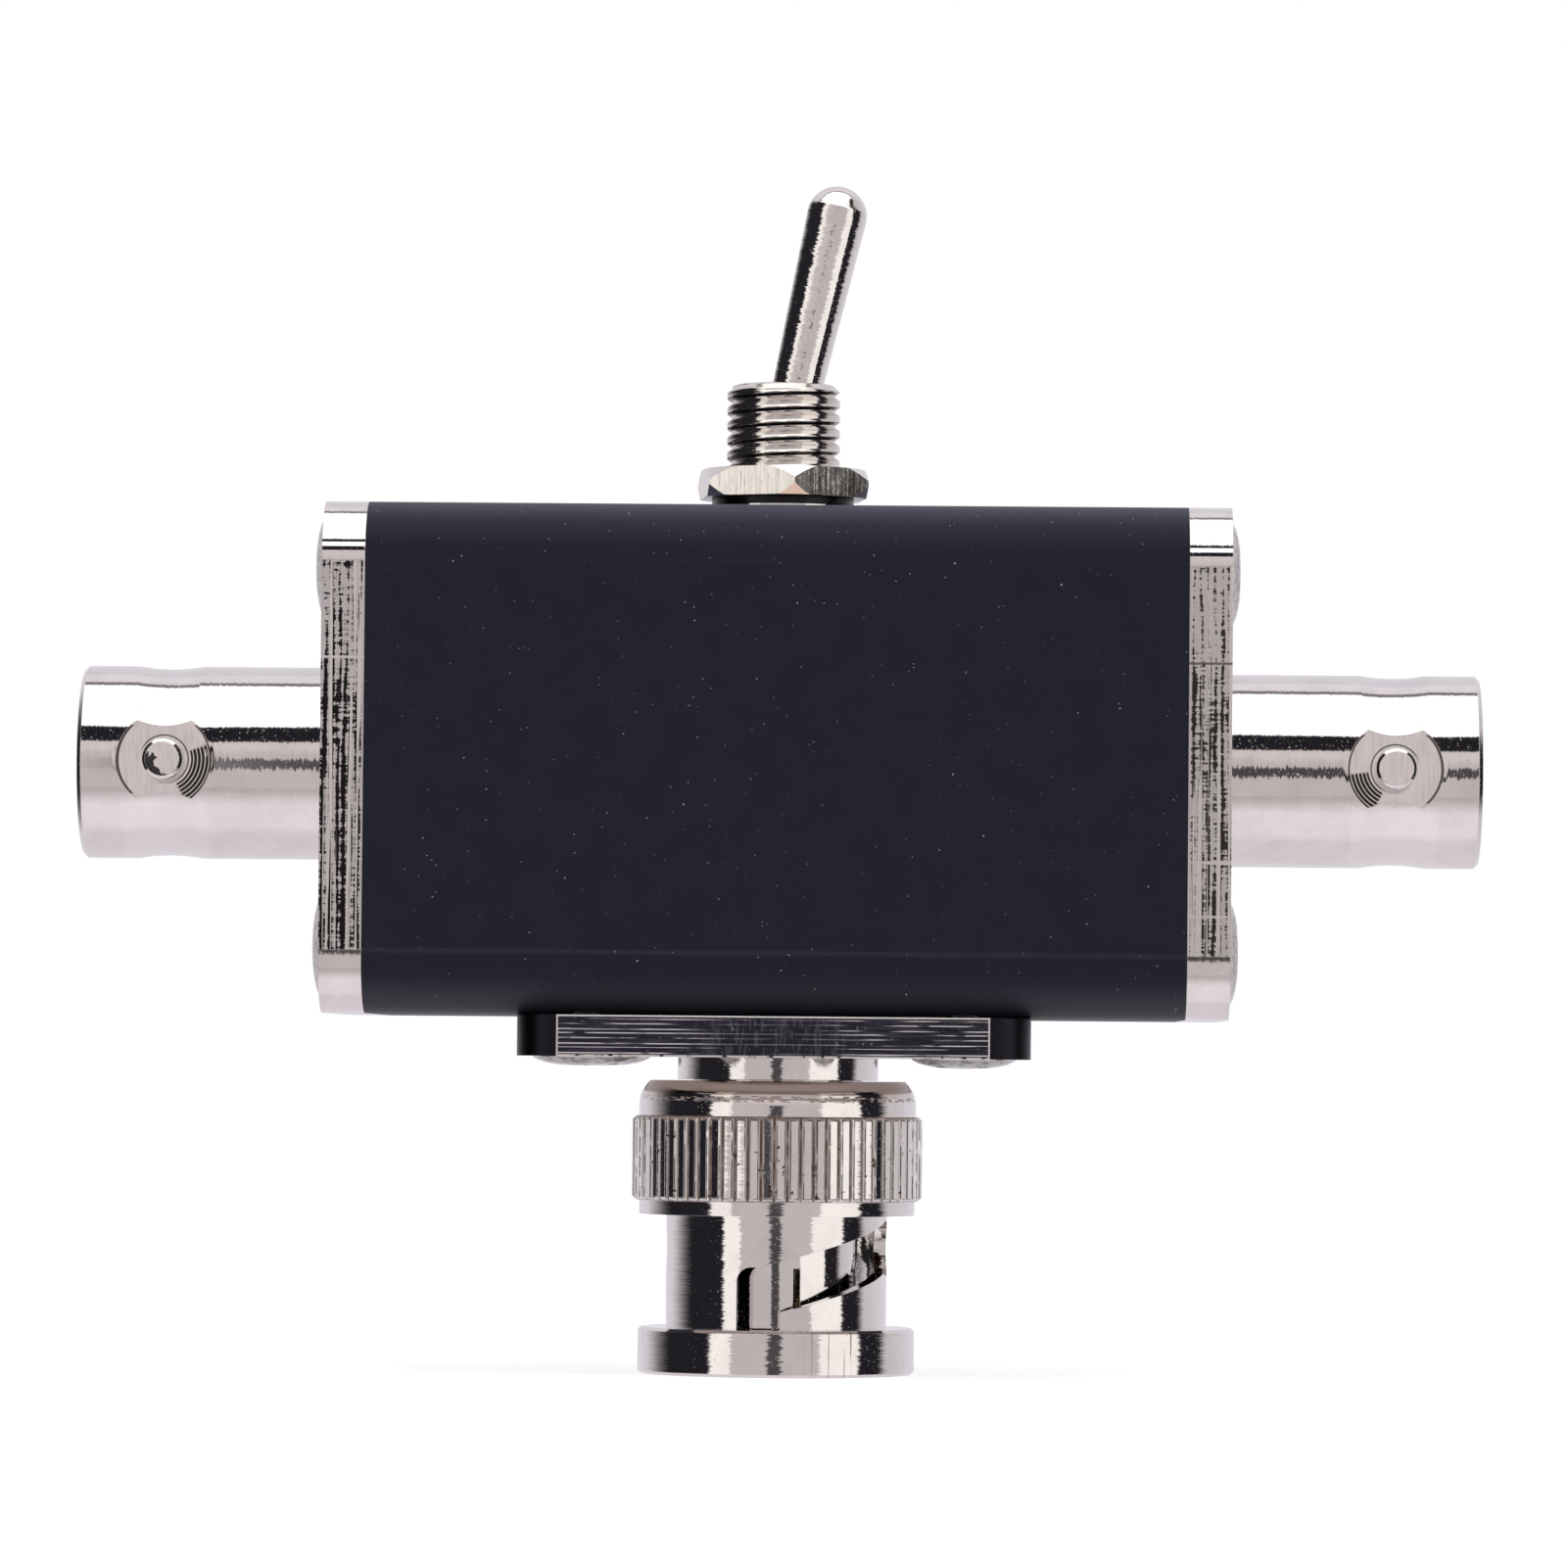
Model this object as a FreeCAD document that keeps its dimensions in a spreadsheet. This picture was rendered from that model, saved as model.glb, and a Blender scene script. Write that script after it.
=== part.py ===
"""Coaxial A/B switch: a square tube case with two bayonet jacks, a bayonet plug and a toggle switch.

The case tube lies along X. The plug hangs below it on Z and the toggle switch stands on top.
The origin is on the plug's axis at the mouth of its coupling nut, on which the switch stands.
"""
import FreeCAD, Part
import math
import operator
import os
import Sketcher

V = FreeCAD.Vector
UP = V(0, 0, 1)
SAME_PLACE = 1e-4
SPRING_STATIONS = 8
BEND_SHARE = 0.45
VOLUME_ERROR = 0.001

# Driving sizes in mm and degrees: name, value, meaning
SIZES = [
    ("tube_side", 25.0, "outside width and height of the case tube"),
    ("tube_length", 40.0, "length of the case tube"),
    ("tube_wall", 1.5, "wall of the case tube"),
    ("tube_corner", 3.0, "outside corner radius of the tube and the jack flanges"),
    ("port_inset", 3.25, "screw axes from the outside of the tube and the flanges"),
    ("port_radius", 2.4, "outside radius of the screw ports in the tube"),
    ("fit_clearance", 0.02, "radial clearance of seated and threaded pieces"),
    ("run_clearance", 0.06, "radial clearance of pins and shafts that turn"),
    ("core_clearance", 0.1, "radial clearance of the plug's insulator in the tube"),
    ("screw_radius", 1.25, "thread radius of the flange screws"),
    ("screw_head", 2.55, "radius of the countersunk heads"),
    ("screw_dome", 0.45, "height of the raised heads over the flange"),
    ("screw_crown", 1.2, "radius of the crown of the raised heads"),
    ("jack_screw_length", 7.5, "jack flange screws under the flange face"),
    ("plug_screw_length", 4.6, "plug flange screws under the flange face"),
    ("jack_flange", 2.1, "thickness of the jack flanges"),
    ("barrel_radius", 4.8, "outside radius of the jack barrels"),
    ("barrel_length", 12.65, "jack barrels beyond the flange"),
    ("rim_chamfer", 0.2, "chamfer of the barrel rim"),
    ("jack_bore", 4.075, "radius of the jack bore"),
    ("jack_depth", 8.4, "depth of the jack bore"),
    ("jack_seat", 0.95, "web between the jack bore and the insulator seat"),
    ("lug_radius", 1.0, "radius of the bayonet lugs"),
    ("lug_reach", 5.5, "bayonet lug tips from the jack axis"),
    ("lug_setback", 4.31, "lug axis behind the jack rim"),
    ("lug_rounding", 0.15, "chamfer of the lug tips"),
    ("spot_radius", 2.35, "radius of the flat milled round each lug"),
    ("spot_floor", 4.35, "milled flat from the jack axis"),
    ("waist_half", 1.6, "half length of the turned waist at the lugs"),
    ("waist_depth", 0.15, "depth of the turned waist"),
    ("insulator_radius", 3.3, "radius of the insulator behind the bore floor"),
    ("nose_radius", 2.425, "radius of the insulator nose in the jack"),
    ("nose_setback", 0.2, "insulator nose behind the jack rim"),
    ("contact_radius", 1.1, "radius of the socket contact"),
    ("contact_setback", 0.55, "socket contact behind the jack rim"),
    ("contact_bore", 0.7, "bore radius of the socket contact"),
    ("contact_depth", 5.0, "bore depth of the socket contact"),
    ("contact_slot", 0.3, "width of the contact slots"),
    ("contact_slot_length", 4.0, "length of the contact slots"),
    ("entry_radius", 0.95, "hole in the insulator face in front of the contact"),
    ("entry_depth", 0.3, "depth of the hole in the insulator face"),
    ("tail_length", 2.4, "contact tail behind the flange"),
    ("cup_depth", 2.0, "depth of the solder cups"),
    ("wire_radius", 0.6, "radius of the insulated wires"),
    ("plug_flange", 2.0, "thickness of the plug flange"),
    ("plug_corner", 2.0, "corner radius of the plug flange"),
    ("neck_radius", 5.0, "radius of the neck under the plug flange"),
    ("neck_length", 1.1, "length of the neck"),
    ("stem_radius", 4.2, "radius of the stem that carries the coupling nut"),
    ("stem_length", 2.75, "length of the stem below the neck"),
    ("nut_gap", 0.05, "gap between the neck and the coupling nut"),
    ("shoulder_radius", 6.9, "radius of the plain shoulder of the coupling nut"),
    ("shoulder_length", 1.75, "length of the plain shoulder"),
    ("shoulder_inset", 0.55, "how far the shoulder narrows at its top"),
    ("shoulder_round", 1.2, "height of the narrowing"),
    ("knurl_radius", 7.225, "radius over the knurled band"),
    ("knurl_length", 4.2, "length of the knurled band"),
    ("knurl_chamfer", 0.2, "chamfer at the ends of the knurled band"),
    ("flute_depth", 0.2, "depth of the flutes"),
    ("flute_share", 0.5, "share of the knurled band that the flutes cut away"),
    ("flute_count", 68, "flutes round the knurled band"),
    ("collar_radius", 6.875, "radius of the collar under the knurled band"),
    ("collar_length", 0.7, "length of that collar"),
    ("sleeve_radius", 5.5, "outside radius of the slotted sleeve"),
    ("sleeve_length", 5.6, "length of the slotted sleeve between collar and ring"),
    ("ring_radius", 6.9, "outside radius of the mouth ring"),
    ("ring_length", 2.3, "length of the mouth ring"),
    ("ring_chamfer", 0.15, "chamfer of the mouth ring"),
    ("nut_bore", 4.9, "bore radius of the coupling nut"),
    ("nut_bore_length", 9.3, "length of that bore from the mouth"),
    ("cavity_radius", 5.7, "radius of the spring cavity in the coupling nut"),
    ("lip_length", 1.0, "thickness of the inner lip of the coupling nut"),
    ("slot_width", 2.5, "height of the helical slots along the axis"),
    ("slot_entry_width", 2.15, "width of the straight entries of the slots"),
    ("slot_entry_angle", 8.25, "entry of one slot, to the left of the front"),
    ("slot_entry_height", 4.13, "middle of the slot over the mouth, at the entry"),
    ("slot_sweep", 92.3, "turn of the slot from the entry to the detent"),
    ("slot_rise", 2.33, "rise of the slot over that turn"),
    ("slot_corner", 0.73, "rounding of the slot where it bends"),
    ("entry_groove_radius", 5.6, "how far out the entries reach inside the ring"),
    ("detent_radius", 1.35, "radius of the round detents"),
    ("detent_setback", 0.2, "detents below the middle of the slot's end"),
    ("washer_thickness", 0.25, "thickness of the thrust washers"),
    ("washer_outer", 5.4, "outside radius of washers, gasket and contact collar"),
    ("spring_thickness", 0.2, "thickness of the wave spring"),
    ("spring_inner", 4.5, "inside radius of the wave spring"),
    ("spring_outer", 5.3, "outside radius of the wave spring"),
    ("spring_waves", 3, "waves round the spring"),
    ("contact_collar", 1.0, "thickness of the collar on the outer contact"),
    ("spigot_radius", 3.3, "radius of the spigot of the outer contact"),
    ("spigot_length", 2.85, "length of the spigot in the stem"),
    ("shield_radius", 4.04, "outside radius of the outer contact"),
    ("shield_bore", 3.2, "bore radius of the outer contact"),
    ("shield_length", 8.85, "outer contact beyond its collar"),
    ("shield_slit", 0.34, "width of the slits in the outer contact"),
    ("shield_slit_length", 3.3, "length of the slits"),
    ("shield_slits", 6, "slits round the outer contact"),
    ("shield_slit_angle", 14.25, "turn of the slits from the right-hand side"),
    ("gasket_thickness", 0.75, "thickness of the gasket"),
    ("plug_core_radius", 2.4, "radius of the plug insulator in the spigot"),
    ("plug_core_length", 3.45, "length of the plug insulator in the outer contact"),
    ("plug_core_rise", 0.5, "plug insulator above the plug flange"),
    ("pin_radius", 0.675, "radius of the plug's centre pin"),
    ("pin_length", 4.8, "centre pin beyond the insulator"),
    ("pin_tip", 0.4, "taper of the pin's tip"),
    ("pin_root", 1.0, "radius of the centre pin inside the insulator"),
    ("pin_tail", 2.5, "centre pin above the plug flange"),
    ("keyed_washer", 0.5, "thickness of the keyed washer"),
    ("lock_washer", 0.4, "thickness of the toothed lock washer"),
    ("inner_washer", 0.8, "thickness of the washer inside the tube"),
    ("toggle_washer_radius", 3.55, "outside radius of the toggle's washers"),
    ("lock_teeth", 12, "teeth of the lock washer"),
    ("lock_rim", 0.45, "rim width of the toothed lock washer"),
    ("tooth_root", 0.5, "width of a tooth at the rim, as a share of its pitch"),
    ("tooth_tip", 0.4, "width of a tooth at the bushing, as a share of its pitch"),
    ("hex_flats", 8.0, "hex nut across flats"),
    ("hex_height", 1.44, "height of the hex nut"),
    ("hex_turn", 8.5, "turn of the hex nut's front corner to the right"),
    ("hex_face", 0.97, "flat face of the hex nut, as a share of its flats"),
    ("hex_chamfer", 42.0, "angle of the hex nut's chamfers"),
    ("bushing_radius", 2.82, "radius of the threaded bushing"),
    ("bushing_reach", 6.6, "bushing above the tube"),
    ("bushing_chamfer", 0.3, "chamfer at the top of the bushing"),
    ("bushing_spigot", 2.6, "radius of the bushing's riveted spigot"),
    ("key_width", 1.0, "width of the keyway in the bushing"),
    ("key_depth", 0.35, "depth of the keyway"),
    ("mouth_radius", 2.15, "radius of the bushing's mouth"),
    ("mouth_depth", 1.6, "depth of the tapered mouth"),
    ("socket_radius", 1.9, "bore of the bushing at the lever's ball"),
    ("socket_depth", 5.4, "depth from the mouth to where the bore widens again"),
    ("skirt_radius", 2.32, "bore of the bushing at its lower end"),
    ("pivot_height", 3.5, "lever pivot above the tube"),
    ("pivot_pin", 0.5, "radius of the lever's pivot pin"),
    ("pivot_pin_half", 2.35, "half length of the pivot pin"),
    ("lever_tilt", 12.5, "tilt of the lever from upright"),
    ("lever_ball", 1.75, "radius of the lever's ball"),
    ("lever_neck", 1.1, "radius of the lever where it leaves the ball"),
    ("lever_mouth", 1.25, "radius of the lever at the bushing's mouth"),
    ("lever_tip", 1.5, "radius of the lever's rounded tip"),
    ("lever_length", 11.9, "pivot to the middle of the rounded tip"),
    ("lever_stub", 0.75, "radius of the lever under the ball"),
    ("lever_stub_length", 6.6, "pivot to the lower end of the lever"),
    ("plunger_radius", 0.4, "radius of the plunger"),
    ("plunger_bore_depth", 3.6, "depth of the plunger's bore"),
    ("plunger_reach", 8.95, "pivot to the tip of the plunger"),
    ("plunger_gap", 0.08, "gap from the plunger to the rocker's middle"),
    ("frame_thickness", 0.6, "sheet of the switch frame"),
    ("frame_leg", 6.0, "width of the legs of the switch frame"),
    ("case_width", 13.2, "switch case along X"),
    ("case_depth", 7.9, "switch case along Y"),
    ("case_height", 9.3, "height of the switch case"),
    ("case_wall", 0.8, "wall of the switch case"),
    ("case_floor", 1.5, "floor of the switch case"),
    ("case_lead", 1.2, "case below the frame's legs"),
    ("rocker_angle", 8.0, "slope of each arm of the rocker"),
    ("rocker_overhang", 0.6, "rocker beyond the middle of the outer terminals"),
    ("rocker_width", 2.4, "width of the rocker"),
    ("rocker_thickness", 0.4, "thickness of the rocker"),
    ("terminal_inset", 1.9, "outer terminals from the ends of the switch case"),
    ("terminal_width", 2.0, "width of the terminals"),
    ("terminal_thickness", 0.8, "thickness of the terminals"),
    ("terminal_length", 4.2, "terminals below the switch case"),
    ("terminal_gap", 0.03, "gap between the rocker and the terminals at rest"),
    ("saddle_radius", 0.2, "radius of the rib that the rocker turns on"),
    ("solder_height", 1.0, "wire axis above the terminal ends"),
    ("wire_first_run", 3.5, "straight lead of the side wires from the terminal"),
    ("wire_rise_run", 3.8, "rising lead of the side wires along X"),
]

doc = FreeCAD.newDocument("coaxial_switch")
sheet = doc.addObject("Spreadsheet::Sheet", "Sizes")
for row, (alias, number, meaning) in enumerate(SIZES, start=1):
    sheet.set("A%d" % row, str(number))
    sheet.setAlias("A%d" % row, alias)
    sheet.set("B%d" % row, meaning)
doc.recompute()

OPERATIONS = {"+": operator.add, "-": operator.sub, "*": operator.mul, "/": operator.truediv}


class Size:
    """A number together with the spreadsheet expression that gives it."""

    def __init__(self, value, text):
        self.value = value
        self.text = text

    def __add__(self, other):
        return combine(self, "+", other)

    def __radd__(self, other):
        return combine(other, "+", self)

    def __sub__(self, other):
        return combine(self, "-", other)

    def __rsub__(self, other):
        return combine(other, "-", self)

    def __mul__(self, other):
        return combine(self, "*", other)

    def __rmul__(self, other):
        return combine(other, "*", self)

    def __truediv__(self, other):
        return combine(self, "/", other)

    def __neg__(self):
        return combine(0, "-", self)

    def root(self):
        return Size(math.sqrt(self.value), "sqrt(%s)" % self.text)

    def tangent(self):
        return Size(math.tan(math.radians(self.value)), "tan(%s * 1 deg)" % self.text)


def as_size(number):
    return number if isinstance(number, Size) else Size(float(number), str(number))


def combine(first, sign, second):
    first = as_size(first)
    second = as_size(second)
    value = OPERATIONS[sign](first.value, second.value)
    return Size(value, "(%s %s %s)" % (first.text, sign, second.text))


class Driving:
    """Gives each cell of the spreadsheet by its name."""

    def __getattr__(self, alias):
        return Size(float(sheet.get(alias)), "Sizes." + alias)


d = Driving()

# Places worked out from the driving sizes
half_side = d.tube_side / 2
port_offset = half_side - d.port_inset
nut_top = d.plug_flange + d.neck_length + d.nut_gap
knurl_top = nut_top + d.shoulder_length
collar_top = knurl_top + d.knurl_length
sleeve_top = collar_top + d.collar_length
ring_top = sleeve_top + d.sleeve_length
plug_reach = ring_top + d.ring_length
stem_end = d.plug_flange + d.neck_length + d.stem_length
shield_start = stem_end + d.contact_collar
core_end = shield_start + d.plug_core_length
tube_bottom = plug_reach
axis_height = plug_reach + half_side
toggle_base = plug_reach + d.tube_side
jack_rim = d.jack_flange + d.barrel_length
bore_floor = jack_rim - d.jack_depth
insulator_seat = bore_floor - d.jack_seat
cup_radius = d.wire_radius + d.fit_clearance
nut_seat = d.keyed_washer + d.lock_washer
frame_top = -(d.tube_wall + d.inner_washer)
case_top = frame_top - d.frame_thickness
case_bottom = case_top - d.case_height
terminal_end = case_bottom - d.terminal_length
rocker_pivot = d.pivot_height - d.plunger_reach - d.plunger_gap - d.rocker_thickness
terminal_pitch = d.case_width / 2 - d.terminal_inset
rocker_half = terminal_pitch + d.rocker_overhang


def new_body(label, height, axis=UP, angle=None, along=None):
    """A body whose own origin lies at a height on the plug's axis, or at a distance along X from it."""
    body = doc.addObject("PartDesign::Body", label)
    body.Label = label
    if angle is not None:
        angle = as_size(angle)
        body.Placement = FreeCAD.Placement(V(), FreeCAD.Rotation(axis, angle.value))
        body.setExpression("Placement.Rotation.Angle", angle.text + " * 1 deg")
    body.setExpression("Placement.Base.z", height.text)
    if along is not None:
        body.setExpression("Placement.Base.x", along.text)
    return body


def origin_item(body, role):
    return [item for item in body.Origin.OriginFeatures if item.Role == role][0]


def new_sketch(body, name, role, offset=None, turn=None):
    """A sketch on an origin plane, moved along the plane's normal and turned about its own Y."""
    sketch = body.newObject("Sketcher::SketchObject", name)
    sketch.AttachmentSupport = [(origin_item(body, role), "")]
    sketch.MapMode = "FlatFace"
    if turn is not None:
        sketch.AttachmentOffset = FreeCAD.Placement(V(), FreeCAD.Rotation(V(0, 1, 0), turn.value))
        sketch.setExpression("AttachmentOffset.Rotation.Angle", turn.text + " * 1 deg")
    if offset is not None:
        sketch.setExpression("AttachmentOffset.Base.z", as_size(offset).text)
    return sketch


def bind(sketch, kind, size, *where):
    """Adds a constraint of a size and binds it to the spreadsheet."""
    size = as_size(size)
    index = sketch.addConstraint(Sketcher.Constraint(kind, *where, size.value))
    if "Sizes" in size.text:
        sketch.setExpression("Constraints[%d]" % index, size.text)


def arc_between(start, stop, centre_x):
    """The shorter arc between two points round a centre with a given x, and whether it runs forward."""
    middle = (start + stop) / 2
    step = stop - start
    centre_y = middle.y + (middle.x - centre_x) * step.x / step.y
    centre = V(centre_x, centre_y, 0)
    first = math.atan2(start.y - centre.y, start.x - centre.x)
    last = math.atan2(stop.y - centre.y, stop.x - centre.x)
    forward = (last - first) % (2 * math.pi) < math.pi
    if not forward:
        first, last = last, first
    if last < first:
        last = last + 2 * math.pi
    circle = Part.Circle(centre, UP, (start - centre).Length)
    return Part.ArcOfCircle(circle, first, last), forward


def outline(sketch, points, centres=None):
    """A closed outline through points. centres gives the centre's x of the arc that leaves a point."""
    centres = centres or {}
    corners = [(as_size(x), as_size(y)) for x, y in points]
    places = [V(x.value, y.value, 0) for x, y in corners]
    first = sketch.GeometryCount
    ends = []
    for index, place in enumerate(places):
        after = places[(index + 1) % len(places)]
        if index in centres:
            curve, forward = arc_between(place, after, as_size(centres[index]).value)
            ends.append((1, 2) if forward else (2, 1))
        else:
            curve = Part.LineSegment(place, after)
            ends.append((1, 2))
        sketch.addGeometry(curve, False)
    for index in range(len(places)):
        after = (index + 1) % len(places)
        joined = (first + index, ends[index][1], first + after, ends[after][0])
        sketch.addConstraint(Sketcher.Constraint("Coincident", *joined))
    for index, (x, y) in enumerate(corners):
        bind(sketch, "DistanceX", x, -1, 1, first + index, ends[index][0])
        bind(sketch, "DistanceY", y, -1, 1, first + index, ends[index][0])
    for index, centre_x in centres.items():
        bind(sketch, "DistanceX", centre_x, -1, 1, first + index, 3)


def circles(sketch, places, radius):
    for x, y in places:
        x, y = as_size(x), as_size(y)
        index = sketch.addGeometry(Part.Circle(V(x.value, y.value, 0), UP, radius.value), False)
        bind(sketch, "DistanceX", x, -1, 1, index, 3)
        bind(sketch, "DistanceY", y, -1, 1, index, 3)
        bind(sketch, "Radius", radius, index)


def rectangle(sketch, left, right, low, high):
    outline(sketch, [(left, low), (right, low), (right, high), (left, high)])


def rounded_rectangle(sketch, left, right, low, high, corner):
    points = [(left + corner, low), (right - corner, low), (right, low + corner), (right, high - corner),
              (right - corner, high), (left + corner, high), (left, high - corner), (left, low + corner)]
    outline(sketch, points, {1: right - corner, 3: right - corner, 5: left + corner, 7: left + corner})


def corners_of(offset):
    return [(offset, offset), (-offset, offset), (-offset, -offset), (offset, -offset)]


def extrude(body, kind, name, sketch, length=None, both=False, back=False):
    """A pad or pocket of a bound length, or right through where no length is given."""
    feature = body.newObject("PartDesign::" + kind, name)
    feature.Profile = sketch
    if length is None:
        feature.Type = "ThroughAll"
    else:
        feature.setExpression("Length", as_size(length).text)
    if both:
        feature.SideType = "Symmetric"
    feature.Reversed = back
    return feature


def revolve(body, kind, name, sketch, axis="V_Axis"):
    feature = body.newObject("PartDesign::" + kind, name)
    feature.Profile = sketch
    feature.ReferenceAxis = (sketch, [axis])
    feature.Angle = 360
    return feature


def turned(body, name, points, centres=None, kind="Revolution"):
    """A solid, or with kind Groove a cut, turned about the body's Z from a half section."""
    section = new_sketch(body, name + "_section", "XZ_Plane")
    outline(section, points, centres)
    return revolve(body, kind, name, section)


def repeat_round(body, name, features, count):
    pattern = body.newObject("PartDesign::PolarPattern", name)
    pattern.Originals = features
    pattern.Axis = (origin_item(body, "Z_Axis"), [""])
    pattern.Angle = 360
    pattern.setExpression("Occurrences", as_size(count).text)
    body.Tip = pattern
    return pattern


def near(first, second):
    return abs(first - second) < SAME_PLACE


def ring_edges(body, rings):
    """Names of the circular edges of a body at given radii and heights on its own axis."""
    doc.recompute()
    names = []
    turned_shape = body.Tip.Shape
    for index, edge in enumerate(turned_shape.Edges, start=1):
        if edge.Curve.TypeId != "Part::GeomCircle":
            continue
        for radius, height in rings:
            same_place = near(edge.Curve.Radius, radius.value) and near(edge.Curve.Center.z, height.value)
            if same_place:
                names.append("Edge%d" % index)
    return names


def soften(body, kind, name, size, edges):
    """A fillet or chamfer of a bound size on named edges of the body so far."""
    base = body.Tip
    feature = body.newObject("PartDesign::" + kind, name)
    feature.Base = (base, edges)
    feature.setExpression("Radius" if kind == "Fillet" else "Size", size.text)
    return feature


def screw_section(sketch, face, length, clearance, crowned):
    """Half section of a raised countersunk screw, or of its hole, with the head towards +Z."""
    axis = port_offset
    head = d.screw_head + clearance
    thread = d.screw_radius + clearance
    points = [(axis, face - length), (axis + thread, face - length),
              (axis + thread, face - d.screw_head + d.screw_radius), (axis + head, face)]
    if crowned:
        points.append((axis + d.screw_crown, face + d.screw_dome))
    else:
        points.append((axis + head, face + d.screw_dome))
    points.append((axis, face + d.screw_dome))
    outline(sketch, points)
    low = V(axis.value, (face - length).value, 0)
    high = V(axis.value, (face + d.screw_dome).value, 0)
    line = sketch.addGeometry(Part.LineSegment(low, high), True)
    for point, height in ((1, face - length), (2, face + d.screw_dome)):
        bind(sketch, "DistanceX", axis, -1, 1, line, point)
        bind(sketch, "DistanceY", height, -1, 1, line, point)


def flange_screws(label, face, length, **place):
    """Four screws as separate solids, on the corners of one flange."""
    body = new_body(label, **place)
    body.AllowCompound = True
    section = new_sketch(body, label + "_section", "XZ_Plane", offset=port_offset)
    screw_section(section, face, length, as_size(0), crowned=True)
    screw = revolve(body, "Revolution", label + "_screw", section, "Axis0")
    repeat_round(body, label + "_pattern", [screw], 4)
    return body


def cut_screw_holes(body, face):
    """Countersunk holes in a flange, wider than the screws by the fit clearance."""
    section = new_sketch(body, "screw_hole_section", "XZ_Plane", offset=port_offset)
    screw_section(section, face, 2 * face, d.fit_clearance, crowned=False)
    hole = revolve(body, "Groove", "screw_hole", section, "Axis0")
    repeat_round(body, "screw_holes", [hole], 4)


def build_tube():
    """The case: a square extrusion with a screw port in each inner corner."""
    body = new_body("housing_tube", axis_height)
    outside = new_sketch(body, "tube_outside", "YZ_Plane")
    rounded_rectangle(outside, -half_side, half_side, -half_side, half_side, d.tube_corner)
    extrude(body, "Pad", "tube_block", outside, d.tube_length, both=True)
    inside = new_sketch(body, "tube_inside", "YZ_Plane")
    reach = half_side - d.tube_wall
    rectangle(inside, -reach, reach, -reach, reach)
    extrude(body, "Pocket", "tube_hollow", inside, d.tube_length, both=True)
    ports = new_sketch(body, "port_walls", "YZ_Plane")
    circles(ports, corners_of(port_offset), d.port_radius)
    extrude(body, "Pad", "screw_ports", ports, d.tube_length, both=True)
    threads = new_sketch(body, "port_holes", "YZ_Plane")
    circles(threads, corners_of(port_offset), d.screw_radius + d.fit_clearance)
    extrude(body, "Pocket", "screw_port_holes", threads, d.tube_length, both=True)
    bushing = new_sketch(body, "bushing_circle", "XY_Plane")
    circles(bushing, [(0, 0)], d.bushing_radius + d.fit_clearance)
    extrude(body, "Pocket", "bushing_hole", bushing, back=True)
    core = new_sketch(body, "core_circle", "XY_Plane")
    circles(core, [(0, 0)], d.plug_core_radius + d.core_clearance)
    extrude(body, "Pocket", "core_hole", core)
    below = new_sketch(body, "plug_screw_circles", "XY_Plane", offset=-port_offset)
    circles(below, corners_of(port_offset), d.screw_radius + d.fit_clearance)
    extrude(body, "Pocket", "plug_screw_holes", below)
    return body


def build_jack_shell(label, **place):
    """Flange and barrel of a jack in one piece, with two bayonet lugs. Its own Z points outwards."""
    body = new_body(label, **place)
    flange = new_sketch(body, "flange_outline", "XY_Plane")
    rounded_rectangle(flange, -half_side, half_side, -half_side, half_side, d.tube_corner)
    extrude(body, "Pad", "flange", flange, d.jack_flange)
    barrel = new_sketch(body, "barrel_circle", "XY_Plane")
    circles(barrel, [(0, 0)], d.barrel_radius)
    extrude(body, "Pad", "barrel", barrel, jack_rim)
    soften(body, "Chamfer", "rim_edge", d.rim_chamfer, ring_edges(body, [(d.barrel_radius, jack_rim)]))
    lug_height = jack_rim - d.lug_setback
    waist_radius = (d.waist_half * d.waist_half + d.waist_depth * d.waist_depth) / (2 * d.waist_depth)
    beyond = d.barrel_radius + d.lug_radius
    waist_low = lug_height - d.waist_half
    waist_high = lug_height + d.waist_half
    turned(body, "waist", [(d.barrel_radius, waist_low), (beyond, waist_low), (beyond, waist_high),
                           (d.barrel_radius, waist_high)],
           {3: d.barrel_radius - d.waist_depth + waist_radius}, kind="Groove")
    spot = new_sketch(body, "spot_circle", "XZ_Plane", offset=d.spot_floor)
    circles(spot, [(0, lug_height)], d.spot_radius)
    flat = extrude(body, "Pocket", "spot_flat", spot, d.lug_reach, back=True)
    lug = new_sketch(body, "lug_circle", "XZ_Plane")
    circles(lug, [(0, lug_height)], d.lug_radius)
    peg = extrude(body, "Pad", "lug", lug, d.lug_reach)
    repeat_round(body, "lugs", [flat, peg], 2)
    doc.recompute()
    tips = []
    for index, edge in enumerate(body.Tip.Shape.Edges, start=1):
        if edge.Curve.TypeId == "Part::GeomCircle" and near(abs(edge.Curve.Center.y), d.lug_reach.value):
            tips.append("Edge%d" % index)
    soften(body, "Chamfer", "lug_tips", d.lug_rounding, tips)
    seat = d.insulator_radius + d.fit_clearance
    nose = d.nose_radius + d.fit_clearance
    turned(body, "bore", [(0, 0), (seat, 0), (seat, insulator_seat), (nose, insulator_seat),
                          (nose, bore_floor), (d.jack_bore, bore_floor), (d.jack_bore, jack_rim),
                          (0, jack_rim)], kind="Groove")
    cut_screw_holes(body, d.jack_flange)
    return body


def build_jack_insulator(label, **place):
    body = new_body(label, **place)
    hole = d.contact_radius + d.fit_clearance
    face = jack_rim - d.nose_setback
    turned(body, "insulator", [(hole, 0), (d.insulator_radius, 0), (d.insulator_radius, insulator_seat),
                               (d.nose_radius, insulator_seat), (d.nose_radius, face),
                               (d.entry_radius, face), (d.entry_radius, face - d.entry_depth),
                               (hole, face - d.entry_depth)])
    return body


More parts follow.
